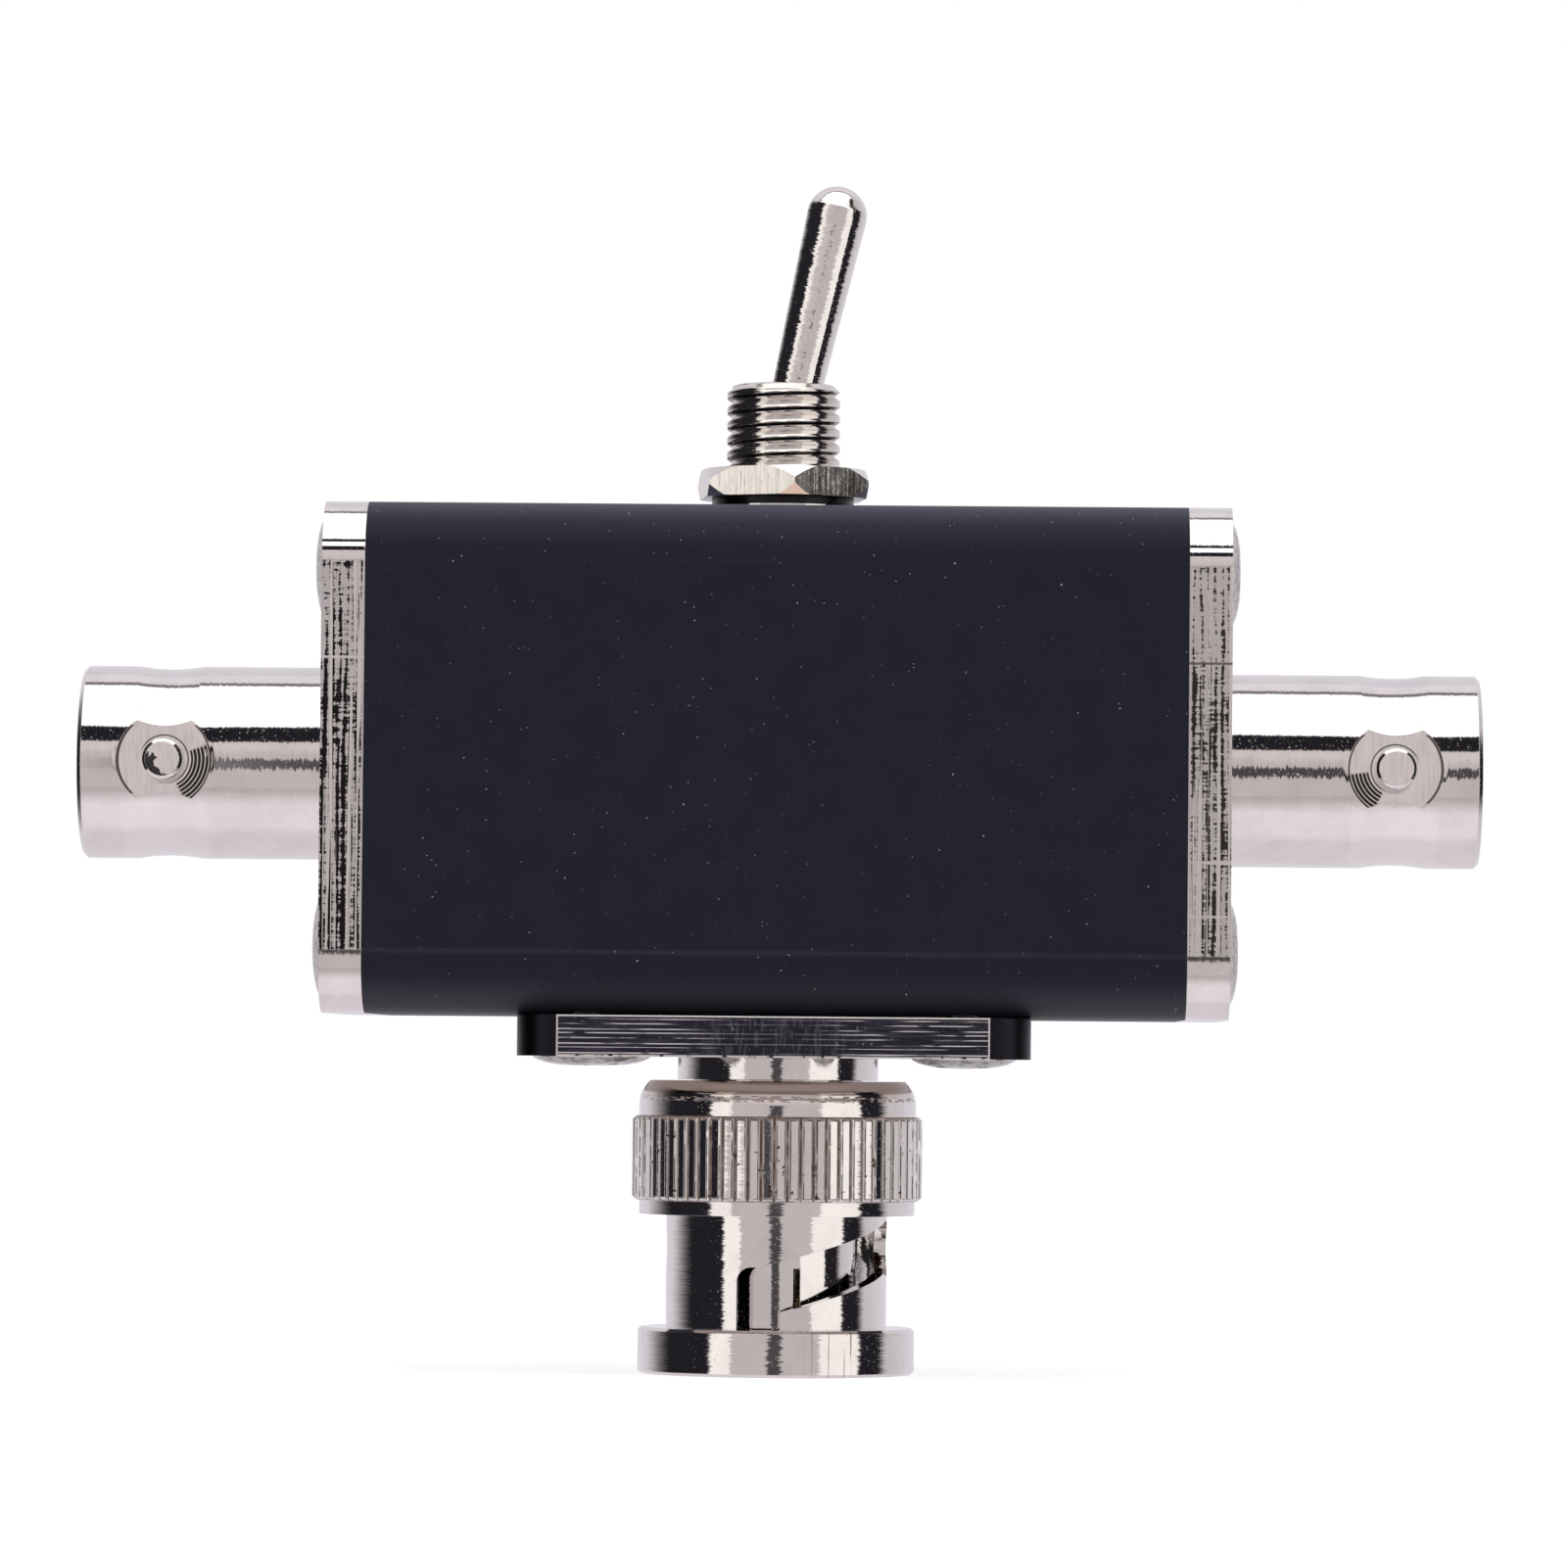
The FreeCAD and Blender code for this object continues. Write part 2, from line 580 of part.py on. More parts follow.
def build_jack_contact(label, **place):
    """Socket contact with four slots in front and a solder cup behind."""
    body = new_body(label, **place)
    tip = jack_rim - d.contact_setback
    turned(body, "socket", [(0, d.cup_depth - d.tail_length), (cup_radius, d.cup_depth - d.tail_length),
                            (cup_radius, -d.tail_length), (d.contact_radius, -d.tail_length),
                            (d.contact_radius, tip), (d.contact_bore, tip),
                            (d.contact_bore, tip - d.contact_depth), (0, tip - d.contact_depth)])
    slot = new_sketch(body, "slot_outline", "XZ_Plane")
    rectangle(slot, -d.contact_slot / 2, d.contact_slot / 2, tip - d.contact_slot_length, tip)
    cut = extrude(body, "Pocket", "slot", slot)
    repeat_round(body, "slots", [cut], 4)
    return body


def build_jack(side, **place):
    return [
        build_jack_shell(side + "_jack_shell", **place),
        build_jack_insulator(side + "_jack_insulator", **place),
        build_jack_contact(side + "_jack_contact", **place),
        flange_screws(side + "_flange_screws", d.jack_flange, d.jack_screw_length, **place),
    ]


# The plug's own Z points down from the bottom of the tube
PLUG = {"height": tube_bottom, "axis": V(0, 1, 0), "angle": 180}


def build_plug_body():
    """Square flange, neck and the stem that carries the coupling nut."""
    body = new_body("plug_body", **PLUG)
    flange = new_sketch(body, "flange_outline", "XY_Plane")
    rounded_rectangle(flange, -half_side, half_side, -half_side, half_side, d.plug_corner)
    extrude(body, "Pad", "flange", flange, d.plug_flange)
    neck_end = d.plug_flange + d.neck_length
    hole = d.plug_core_radius + d.fit_clearance
    socket = d.spigot_radius + d.fit_clearance
    turned(body, "neck_and_stem", [(0, d.plug_flange), (d.neck_radius, d.plug_flange),
                                   (d.neck_radius, neck_end), (d.stem_radius, neck_end),
                                   (d.stem_radius, stem_end), (0, stem_end)])
    turned(body, "core_hole", [(0, 0), (hole, 0), (hole, stem_end - d.spigot_length),
                               (socket, stem_end - d.spigot_length), (socket, stem_end),
                               (0, stem_end)], kind="Groove")
    cut_screw_holes(body, d.plug_flange)
    return body


def build_coupling_nut():
    """Knurled bayonet nut: two helical slots lead from the mouth ring to round detents."""
    body = new_body("coupling_nut", **PLUG)
    lip = d.stem_radius + d.run_clearance
    cavity_end = plug_reach - d.nut_bore_length
    arc_radius = (d.shoulder_inset * d.shoulder_inset + d.shoulder_round * d.shoulder_round)
    arc_centre = d.shoulder_radius - arc_radius / (2 * d.shoulder_inset)
    knurl_end = d.knurl_radius - d.knurl_chamfer
    turned(body, "nut", [
        (lip, nut_top), (d.shoulder_radius - d.shoulder_inset, nut_top),
        (d.shoulder_radius, nut_top + d.shoulder_round), (d.shoulder_radius, knurl_top),
        (knurl_end, knurl_top), (d.knurl_radius, knurl_top + d.knurl_chamfer),
        (d.knurl_radius, collar_top - d.knurl_chamfer), (knurl_end, collar_top),
        (d.collar_radius, collar_top), (d.collar_radius, sleeve_top), (d.sleeve_radius, sleeve_top),
        (d.sleeve_radius, ring_top), (d.ring_radius - d.ring_chamfer, ring_top),
        (d.ring_radius, ring_top + d.ring_chamfer), (d.ring_radius, plug_reach - d.ring_chamfer),
        (d.ring_radius - d.ring_chamfer, plug_reach), (d.nut_bore + d.ring_chamfer, plug_reach),
        (d.nut_bore, plug_reach - d.ring_chamfer), (d.nut_bore, cavity_end),
        (d.cavity_radius, cavity_end), (d.cavity_radius, nut_top + d.lip_length),
        (lip, nut_top + d.lip_length)], {1: arc_centre})
    middle = plug_reach - d.slot_entry_height
    half = d.slot_width / 2
    outer = d.sleeve_radius + d.lip_length
    inner = d.nut_bore - d.flute_depth
    detent = middle - d.slot_rise
    start = new_sketch(body, "slot_section", "XZ_Plane", turn=270 + d.slot_entry_angle - d.slot_sweep)
    rectangle(start, inner, outer, detent - half, detent + half)
    slot = body.newObject("PartDesign::SubtractiveHelix", "bayonet_slot")
    slot.Profile = start
    slot.ReferenceAxis = (start, ["V_Axis"])
    slot.Mode = "pitch-height-angle"
    slot.setExpression("Pitch", (360 * d.slot_rise / d.slot_sweep).text)
    slot.setExpression("Height", d.slot_rise.text)
    slot.Angle = 0
    entry = new_sketch(body, "entry_outline", "XZ_Plane", turn=d.slot_entry_angle)
    rounded_rectangle(entry, -d.slot_entry_width / 2, d.slot_entry_width / 2, middle - half,
                      plug_reach + d.ring_length, d.slot_corner)
    channel = extrude(body, "Pocket", "slot_entry", entry, d.entry_groove_radius)
    round_end = new_sketch(body, "detent_circle", "XZ_Plane", turn=180 + d.slot_entry_angle - d.slot_sweep)
    circles(round_end, [(0, detent + d.detent_setback)], d.detent_radius)
    hole = extrude(body, "Pocket", "detent", round_end, outer)
    repeat_round(body, "second_slot", [slot, channel, hole], 2)
    flute_half = math.pi * d.knurl_radius * d.flute_share / d.flute_count
    flute = new_sketch(body, "flute_section", "XY_Plane", offset=knurl_top)
    outline(flute, [(d.knurl_radius - d.flute_depth, 0), (d.knurl_radius + d.flute_depth, -2 * flute_half),
                    (d.knurl_radius + d.flute_depth, 2 * flute_half)])
    groove = extrude(body, "Pocket", "flute", flute, d.knurl_length, back=True)
    repeat_round(body, "knurl", [groove], d.flute_count)
    return body


def flat_ring(label, low, high, inner, outer, **place):
    body = new_body(label, **place)
    turned(body, label + "_ring", [(inner, low), (outer, low), (outer, high), (inner, high)])
    return body


def build_outer_contact():
    """Outer contact of the plug: a slit sleeve with a collar, pressed into the stem by its spigot."""
    body = new_body("plug_outer_contact", **PLUG)
    hole = d.plug_core_radius + d.fit_clearance
    tip = shield_start + d.shield_length
    spigot_end = stem_end - d.spigot_length
    turned(body, "sleeve", [(hole, spigot_end), (d.spigot_radius, spigot_end),
                            (d.spigot_radius, stem_end), (d.washer_outer, stem_end),
                            (d.washer_outer, shield_start), (d.shield_radius, shield_start),
                            (d.shield_radius, tip), (d.shield_bore, tip), (d.shield_bore, shield_start),
                            (hole, shield_start)])
    slit = new_sketch(body, "slit_outline", "XZ_Plane", turn=90 + d.shield_slit_angle)
    rectangle(slit, -d.shield_slit / 2, d.shield_slit / 2, tip - d.shield_slit_length, tip)
    cut = extrude(body, "Pocket", "slit", slit)
    repeat_round(body, "slits", [cut], d.shield_slits)
    return body


def build_plug_insulator():
    body = new_body("plug_insulator", **PLUG)
    hole = d.pin_root + d.fit_clearance
    outer = d.shield_bore - d.fit_clearance
    turned(body, "core", [(hole, -d.plug_core_rise), (d.plug_core_radius, -d.plug_core_rise),
                          (d.plug_core_radius, shield_start), (outer, shield_start), (outer, core_end),
                          (hole, core_end)])
    return body


def build_centre_pin():
    body = new_body("plug_centre_pin", **PLUG)
    tip = core_end + d.pin_length
    cup_floor = d.cup_depth - d.pin_tail
    turned(body, "pin", [(0, cup_floor), (cup_radius, cup_floor), (cup_radius, -d.pin_tail),
                         (d.pin_root, -d.pin_tail), (d.pin_root, core_end), (d.pin_radius, core_end),
                         (d.pin_radius, tip - 2 * d.pin_tip), (d.pin_radius - d.pin_tip / 2, tip),
                         (0, tip)])
    return body


def build_wave_spring():
    """Wave spring between the thrust washers: a flat ring whose height rises and falls round the axis."""
    low = (nut_top + d.lip_length + d.washer_thickness).value
    high = (stem_end - d.washer_thickness).value
    thickness = d.spring_thickness.value
    middle = (low + high - thickness) / 2
    swing = (high - low - thickness) / 2 - d.fit_clearance.value
    waves = int(d.spring_waves.value)
    stations = SPRING_STATIONS * waves

    def rim(radius):
        points = []
        for station in range(stations):
            angle = 2 * math.pi * station / stations
            height = middle + swing * math.cos(waves * angle)
            points.append(V(radius.value * math.cos(angle), radius.value * math.sin(angle), height))
        curve = Part.BSplineCurve()
        curve.interpolate(points, PeriodicFlag=True)
        return curve.toShape()

    ribbon = Part.makeRuledSurface(rim(d.spring_inner), rim(d.spring_outer))
    spring = doc.addObject("Part::Feature", "wave_spring")
    spring.Label = "wave_spring"
    spring.Shape = ribbon.extrude(V(0, 0, thickness))
    spring.Placement = FreeCAD.Placement(V(0, 0, tube_bottom.value), FreeCAD.Rotation(V(0, 1, 0), 180))
    return spring


def build_plug():
    return [
        build_plug_body(),
        build_coupling_nut(),
        flat_ring("rear_thrust_washer", nut_top + d.lip_length, nut_top + d.lip_length + d.washer_thickness,
                  d.stem_radius + d.run_clearance, d.washer_outer, **PLUG),
        build_wave_spring(),
        flat_ring("front_thrust_washer", stem_end - d.washer_thickness, stem_end,
                  d.stem_radius + d.run_clearance, d.washer_outer, **PLUG),
        build_outer_contact(),
        flat_ring("plug_gasket", shield_start, shield_start + d.gasket_thickness,
                  d.shield_radius + d.fit_clearance, d.washer_outer, **PLUG),
        build_plug_insulator(),
        build_centre_pin(),
        flange_screws("plug_flange_screws", d.plug_flange, d.plug_screw_length, **PLUG),
    ]


# The toggle switch's own Z starts at the top of the tube
TOGGLE = {"height": toggle_base}


def build_bushing():
    """Bushing with a mouth that lets the lever tilt, a socket for its ball and a keyway behind."""
    body = new_body("toggle_bushing", **TOGGLE)
    top = d.bushing_reach
    turned(body, "bushing", [
        (d.skirt_radius, case_top), (d.bushing_spigot, case_top), (d.bushing_spigot, frame_top),
        (d.bushing_radius, frame_top), (d.bushing_radius, top - d.bushing_chamfer),
        (d.bushing_radius - d.bushing_chamfer, top), (d.mouth_radius, top),
        (d.socket_radius, top - d.mouth_depth), (d.socket_radius, top - d.socket_depth),
        (d.skirt_radius, frame_top)])
    pin = new_sketch(body, "pin_circle", "XZ_Plane")
    circles(pin, [(0, d.pivot_height)], d.pivot_pin + d.fit_clearance)
    extrude(body, "Pocket", "pin_hole", pin, 2 * (d.pivot_pin_half + d.fit_clearance), both=True)
    key = new_sketch(body, "key_outline", "XY_Plane", offset=frame_top)
    rectangle(key, -d.key_width / 2, d.key_width / 2, d.bushing_radius - d.key_depth,
              d.bushing_radius + d.key_depth)
    extrude(body, "Pocket", "keyway", key, top - frame_top, back=True)
    return body


def build_keyed_washer():
    body = new_body("keyed_washer", **TOGGLE)
    hole = d.bushing_radius + d.fit_clearance
    turned(body, "washer", [(hole, 0), (d.toggle_washer_radius, 0),
                            (d.toggle_washer_radius, d.keyed_washer), (hole, d.keyed_washer)])
    key = new_sketch(body, "key_outline", "XY_Plane")
    half = d.key_width / 2 - d.fit_clearance
    root = d.bushing_radius - d.key_depth + d.fit_clearance
    rectangle(key, -half, half, root, d.toggle_washer_radius - d.key_depth)
    extrude(body, "Pad", "key", key, d.keyed_washer)
    return body


def build_lock_washer():
    """Lock washer with teeth on its inside."""
    body = new_body("lock_washer", **TOGGLE)
    rim = d.toggle_washer_radius - d.lock_rim
    turned(body, "rim", [(rim, d.keyed_washer), (d.toggle_washer_radius, d.keyed_washer),
                         (d.toggle_washer_radius, nut_seat), (rim, nut_seat)])
    tooth = new_sketch(body, "tooth_outline", "XY_Plane", offset=d.keyed_washer)
    hole = d.bushing_radius + d.fit_clearance
    half_pitch = math.pi * hole / d.lock_teeth
    tip = half_pitch * d.tooth_tip
    root = half_pitch * d.tooth_root
    outline(tooth, [(hole, -tip), (rim + d.lock_rim / 2, -root), (rim + d.lock_rim / 2, root),
                    (hole, tip)])
    pad = extrude(body, "Pad", "tooth", tooth, d.lock_washer)
    repeat_round(body, "teeth", [pad], d.lock_teeth)
    return body


def build_hex_nut():
    """Hex nut, chamfered on both faces by turned cuts."""
    body = new_body("hex_nut", toggle_base, angle=d.hex_turn)
    corner = d.hex_flats / as_size(3).root()
    flat = d.hex_flats / 2
    hexagon = new_sketch(body, "hexagon", "XY_Plane", offset=nut_seat)
    outline(hexagon, [(0, -corner), (flat, -corner / 2), (flat, corner / 2), (0, corner),
                      (-flat, corner / 2), (-flat, -corner / 2)])
    extrude(body, "Pad", "hex_block", hexagon, d.hex_height)
    hole = new_sketch(body, "thread_circle", "XY_Plane", offset=nut_seat)
    circles(hole, [(0, 0)], d.bushing_radius + d.fit_clearance)
    extrude(body, "Pocket", "thread_hole", hole, d.hex_height, back=True)
    face = flat * d.hex_face
    drop = (corner - face) * d.hex_chamfer.tangent()
    top = nut_seat + d.hex_height
    turned(body, "top_chamfer", [(face, top), (corner, top), (corner, top - drop)], kind="Groove")
    turned(body, "low_chamfer", [(face, nut_seat), (corner, nut_seat + drop), (corner, nut_seat)],
           kind="Groove")
    return body


def build_lever():
    """Bat lever with its ball and the bored stub below. Its own origin is the pivot."""
    body = new_body("toggle_lever", toggle_base + d.pivot_height, axis=V(0, 1, 0), angle=d.lever_tilt)
    bore = d.plunger_radius + d.fit_clearance
    ball = d.lever_ball * d.lever_ball
    over = (ball - d.lever_neck * d.lever_neck).root()
    under = (ball - d.lever_stub * d.lever_stub).root()
    stub_end = -d.lever_stub_length
    mouth = d.bushing_reach - d.pivot_height
    turned(body, "bat", [
        (0, stub_end + d.plunger_bore_depth), (bore, stub_end + d.plunger_bore_depth), (bore, stub_end),
        (d.lever_stub, stub_end), (d.lever_stub, -under), (d.lever_neck, over), (d.lever_mouth, mouth),
        (d.lever_tip, d.lever_length), (0, d.lever_length + d.lever_tip)], {4: 0, 7: 0})
    pin = new_sketch(body, "pin_circle", "XZ_Plane")
    circles(pin, [(0, 0)], d.pivot_pin + d.run_clearance)
    extrude(body, "Pocket", "pin_hole", pin, 4 * d.lever_ball, both=True)
    return body


def build_plunger():
    body = new_body("lever_plunger", toggle_base + d.pivot_height, axis=V(0, 1, 0), angle=d.lever_tilt)
    top = d.plunger_bore_depth - d.lever_stub_length
    round_start = d.plunger_radius - d.plunger_reach
    turned(body, "plunger", [(0, top), (d.plunger_radius, top), (d.plunger_radius, round_start),
                             (0, -d.plunger_reach)], {2: 0})
    return body


def build_pivot_pin():
    body = new_body("lever_pivot_pin", **TOGGLE)
    circle = new_sketch(body, "pin_circle", "XZ_Plane")
    circles(circle, [(0, d.pivot_height)], d.pivot_pin)
    extrude(body, "Pad", "pin", circle, 2 * d.pivot_pin_half, both=True)
    return body


def build_switch_frame():
    """Folded sheet frame: a top plate that the bushing is riveted to, and two legs down the case."""
    body = new_body("switch_frame", **TOGGLE)
    half_depth = d.case_depth / 2 + d.fit_clearance
    outer = half_depth + d.frame_thickness
    plate = new_sketch(body, "plate_outline", "XY_Plane", offset=case_top)
    rectangle(plate, -d.case_width / 2, d.case_width / 2, -outer, outer)
    extrude(body, "Pad", "plate", plate, d.frame_thickness)
    legs = new_sketch(body, "leg_outline", "YZ_Plane")
    foot = case_bottom + d.case_lead
    rectangle(legs, half_depth, outer, foot, case_top)
    rectangle(legs, -outer, -half_depth, foot, case_top)
    extrude(body, "Pad", "legs", legs, d.frame_leg, both=True)
    hole = new_sketch(body, "spigot_circle", "XY_Plane", offset=case_top)
    circles(hole, [(0, 0)], d.bushing_spigot + d.fit_clearance)
    extrude(body, "Pocket", "spigot_hole", hole, d.frame_thickness, back=True)
    return body


def build_switch_case():
    """Moulded case, open at the top, with three slots for the terminals in its floor."""
    body = new_body("switch_case", **TOGGLE)
    half_width = d.case_width / 2
    half_depth = d.case_depth / 2
    block = new_sketch(body, "case_outline", "XY_Plane", offset=case_bottom)
    rectangle(block, -half_width, half_width, -half_depth, half_depth)
    extrude(body, "Pad", "case_block", block, d.case_height)
    hollow = new_sketch(body, "hollow_outline", "XY_Plane", offset=case_bottom + d.case_floor)
    inner_width = half_width - d.case_wall
    inner_depth = half_depth - d.case_wall
    rectangle(hollow, -inner_width, inner_width, -inner_depth, inner_depth)
    extrude(body, "Pocket", "case_hollow", hollow, back=True)
    slots = new_sketch(body, "terminal_slots", "XY_Plane", offset=case_bottom)
    half_blade = d.terminal_width / 2 + d.fit_clearance
    half_sheet = d.terminal_thickness / 2 + d.fit_clearance
    for place in (-1, 0, 1):
        middle = place * terminal_pitch
        rectangle(slots, middle - half_blade, middle + half_blade, -half_sheet, half_sheet)
    extrude(body, "Pocket", "slots", slots, d.case_floor, back=True)
    return body


def build_terminal(label, place):
    """Flat terminal from its contact or saddle down to the solder end."""
    body = new_body(label, toggle_base, along=place * terminal_pitch)
    half = d.terminal_width / 2
    top = rocker_pivot - d.terminal_gap
    blade = new_sketch(body, "blade_outline", "XZ_Plane")
    rectangle(blade, -half, half, terminal_end, top)
    extrude(body, "Pad", "blade", blade, d.terminal_thickness, both=True)
    pad = new_sketch(body, "pad_outline", "XZ_Plane")
    rectangle(pad, -half, half, top - d.rocker_thickness, top)
    extrude(body, "Pad", "contact_pad", pad, d.rocker_width, both=True)
    return body


def build_common_terminal():
    """The middle terminal, with the round rib that the rocker turns on."""
    body = build_terminal("common_terminal", 0)
    rib = new_sketch(body, "rib_circle", "XZ_Plane")
    circles(rib, [(0, rocker_pivot)], d.saddle_radius)
    extrude(body, "Pad", "saddle_rib", rib, d.rocker_width, both=True)
    return body


def build_rocker():
    """V-shaped rocker contact on the common terminal, modelled with its left arm down."""
    body = new_body("rocker_contact", toggle_base + rocker_pivot, axis=V(0, -1, 0), angle=d.rocker_angle)
    rise = rocker_half * d.rocker_angle.tangent()
    strip = new_sketch(body, "strip_outline", "XZ_Plane")
    outline(strip, [(0, 0), (rocker_half, rise), (rocker_half, rise + d.rocker_thickness),
                    (0, d.rocker_thickness), (-rocker_half, rise + d.rocker_thickness),
                    (-rocker_half, rise)])
    extrude(body, "Pad", "strip", strip, d.rocker_width, both=True)
    saddle = new_sketch(body, "saddle_circle", "XZ_Plane")
    circles(saddle, [(0, 0)], d.saddle_radius + d.terminal_gap)
    extrude(body, "Pocket", "saddle", saddle, 2 * d.rocker_width, both=True)
    return body


def build_toggle():
    return [
        build_bushing(),
        flat_ring("inner_washer", frame_top, -d.tube_wall, d.bushing_radius + d.fit_clearance,
                  d.toggle_washer_radius, **TOGGLE),
        build_keyed_washer(),
        build_lock_washer(),
        build_hex_nut(),
        build_lever(),
        build_pivot_pin(),
        build_plunger(),
        build_switch_frame(),
        build_switch_case(),
        build_common_terminal(),
        build_terminal("left_terminal", -1),
        build_terminal("right_terminal", 1),
        build_rocker(),
    ]


def wire_path(points):
    """Straight runs joined by tangent arcs, each as large as its two runs allow."""
    edges = []
    here = points[0]
    for before, corner, after in zip(points, points[1:], points[2:]):
        back, on = (before - corner), (after - corner)
        reach = BEND_SHARE * min(back.Length, on.Length)
        back.normalize()
        on.normalize()
        start, stop = corner + back * reach, corner + on * reach
        middle = (back + on).normalize()
        half_turn = (math.pi - back.getAngle(on)) / 2
        radius = reach / math.tan(half_turn)
        depth = radius / math.cos(half_turn) - radius
        edges.append(Part.LineSegment(here, start).toShape())
        edges.append(Part.Arc(start, corner + middle * depth, stop).toShape())
        here = stop
        print("wire arc radius %.2f mm" % radius)
    edges.append(Part.LineSegment(here, points[-1]).toShape())
    return Part.Wire(edges)


def build_wire(label, points):
    path = wire_path(points)
    start = path.Edges[0]
    ring = Part.Wire(Part.makeCircle(d.wire_radius.value, points[0], start.tangentAt(start.FirstParameter)))
    wire = doc.addObject("Part::Feature", label)
    wire.Label = label
    wire.Shape = path.makePipeShell([ring], True, False)
    expected = math.pi * d.wire_radius.value ** 2 * path.Length
    if abs(wire.Shape.Volume - expected) > VOLUME_ERROR * expected:
        raise RuntimeError(label + " has not the volume of its length")
    return wire


def build_wires():
    """Insulated wires from the terminals to the jack contacts and the plug's centre pin."""
    end_height = (toggle_base + terminal_end).value
    solder = end_height + d.solder_height.value
    axis = axis_height.value
    start = (terminal_pitch + d.terminal_width / 2).value
    bend = start + d.wire_first_run.value
    level = bend + d.wire_rise_run.value
    cup = (d.tube_length / 2 - d.tail_length + d.cup_depth).value
    wires = []
    for label, side in (("left_wire", -1), ("right_wire", 1)):
        route = [V(side * start, 0, solder), V(side * bend, 0, solder), V(side * level, 0, axis),
                 V(side * cup, 0, axis)]
        wires.append(build_wire(label, route))
    pin_cup = (tube_bottom + d.pin_tail - d.cup_depth).value
    wires.append(build_wire("common_wire", [V(0, 0, end_height), V(0, 0, pin_cup)]))
    return wires


def check(parts):
    for item in doc.Objects:
        if "Invalid" in item.State or "Error" in item.State:
            raise RuntimeError("%s is %s" % (item.Label, item.State))
    for part in parts:
        if part.Shape.isNull() or not part.Shape.isValid() or not part.Shape.Solids:
            raise RuntimeError(part.Label + " has no valid solid")


def main():
    half_length = d.tube_length / 2
    parts = [build_tube()]
    parts += build_jack("left", height=axis_height, axis=V(0, -1, 0), angle=90, along=-half_length)
    parts += build_jack("right", height=axis_height, axis=V(0, 1, 0), angle=90, along=half_length)
    parts += build_plug()
    parts += build_toggle()
    parts += build_wires()
    doc.recompute()
    check(parts)
    os.makedirs("parts", exist_ok=True)
    for part in parts:
        part.Shape.exportStep("parts/%s.step" % part.Label)
        print("%s: %d solid(s), %.2f mm3" % (part.Label, len(part.Shape.Solids), part.Shape.Volume))


main()
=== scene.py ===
"""Looks of the coaxial A/B switch: finishes, fine detail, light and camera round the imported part."""
import math

import bpy
from mathutils import Matrix, Vector


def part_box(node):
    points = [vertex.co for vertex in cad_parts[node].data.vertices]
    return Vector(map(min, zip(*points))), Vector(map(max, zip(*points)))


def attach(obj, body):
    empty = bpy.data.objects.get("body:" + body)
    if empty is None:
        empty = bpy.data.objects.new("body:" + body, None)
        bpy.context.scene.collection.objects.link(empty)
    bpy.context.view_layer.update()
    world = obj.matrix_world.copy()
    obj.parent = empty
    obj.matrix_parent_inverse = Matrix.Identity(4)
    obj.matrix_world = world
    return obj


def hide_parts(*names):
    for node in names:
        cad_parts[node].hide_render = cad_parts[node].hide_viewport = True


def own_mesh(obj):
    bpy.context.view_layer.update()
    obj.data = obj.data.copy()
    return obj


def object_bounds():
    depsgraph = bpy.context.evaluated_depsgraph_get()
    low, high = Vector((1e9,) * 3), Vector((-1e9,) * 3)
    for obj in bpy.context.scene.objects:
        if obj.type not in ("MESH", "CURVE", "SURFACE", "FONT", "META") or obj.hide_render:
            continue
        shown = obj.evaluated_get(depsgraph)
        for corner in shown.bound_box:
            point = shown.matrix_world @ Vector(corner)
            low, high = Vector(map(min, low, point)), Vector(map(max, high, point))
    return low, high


MM = 0.001
FULL_TURN = 2 * math.pi

# Directions in the part's frame
RIGHT = (1.0, 0.0, 0.0)
LEFT = (-1.0, 0.0, 0.0)
UP = (0.0, 0.0, 1.0)
DOWN = (0.0, 0.0, -1.0)
FRONT = (0.0, -1.0, 0.0)

# Camera fitted to the photo: place, lens and sensor in mm, turns in degrees
CAMERA_PLACE = (8.474, -412.634, 15.537)
CAMERA_YAW = -1.152
CAMERA_PITCH = -1.92
CAMERA_ROLL = 0.502
CAMERA_LENS = 189.83
SENSOR_WIDTH = 36.0
NEAR_CLIP = 10.0

# Softbox over the part and the floor below it, in metres
LAMP_PLACE = (0.03, -0.12, 0.5)
LAMP_TARGET = (0.0, 0.0, 0.03)
LAMP_SIZE = 0.35
LAMP_POWER = 1.6
FLOOR_SIZE = (1.6, 1.4)
FLOOR_BACK = 0.3

# Colours of the finishes
NICKEL = (0.80, 0.775, 0.765)
DIRT = (0.13, 0.095, 0.07)
# Near black of the studio's dark panels, also used as painted shade in a groove, a crease and a gap
INK = (0.017, 0.016, 0.020)

# Colours of the studio that metal reflects
GLARE = (1.6, 1.58, 1.56)
SIDE_GLARE = (1.14, 1.09, 1.05)
WALL = (0.66, 0.62, 0.62)
WALL_BEHIND = (0.78, 0.75, 0.81)
MIDDLE_WALL = (0.63, 0.575, 0.575)
MIDDLE_WALL_TOP = (0.76, 0.69, 0.68)
TABLE_FAR = (0.56, 0.51, 0.51)
TABLE_NEAR = (0.93, 0.86, 0.90)
TABLE_BEHIND = (0.80, 0.74, 0.78)
CEILING_GAP = (0.24, 0.22, 0.24)
CEILING_BACK = (0.90, 0.84, 0.87)
TABLE_EDGE = -33.0

# Toggle's bushing, in mm: thread, chamfered end, keyway and bore. The crest is a share of the pitch
THREAD_PITCH = 0.75
THREAD_DEPTH = 0.29
THREAD_CREST = 0.4
THREAD_STEPS = 16
THREAD_SEGMENTS = 160
THREAD_IN_CASE = 2.3
END_CHAMFER = 0.36
END_ROUND = 0.06
END_LIP = 0.02
KEYWAY_WIDTH = 1.0
KEYWAY_DEPTH = 0.35
BUSHING_TAIL = 2.32
BUSHING_SPIGOT = 2.6
BUSHING_MOUTH = 2.15
BUSHING_BORE = 1.9
MOUTH_DEPTH = 1.6
BORE_DEPTH = 5.4

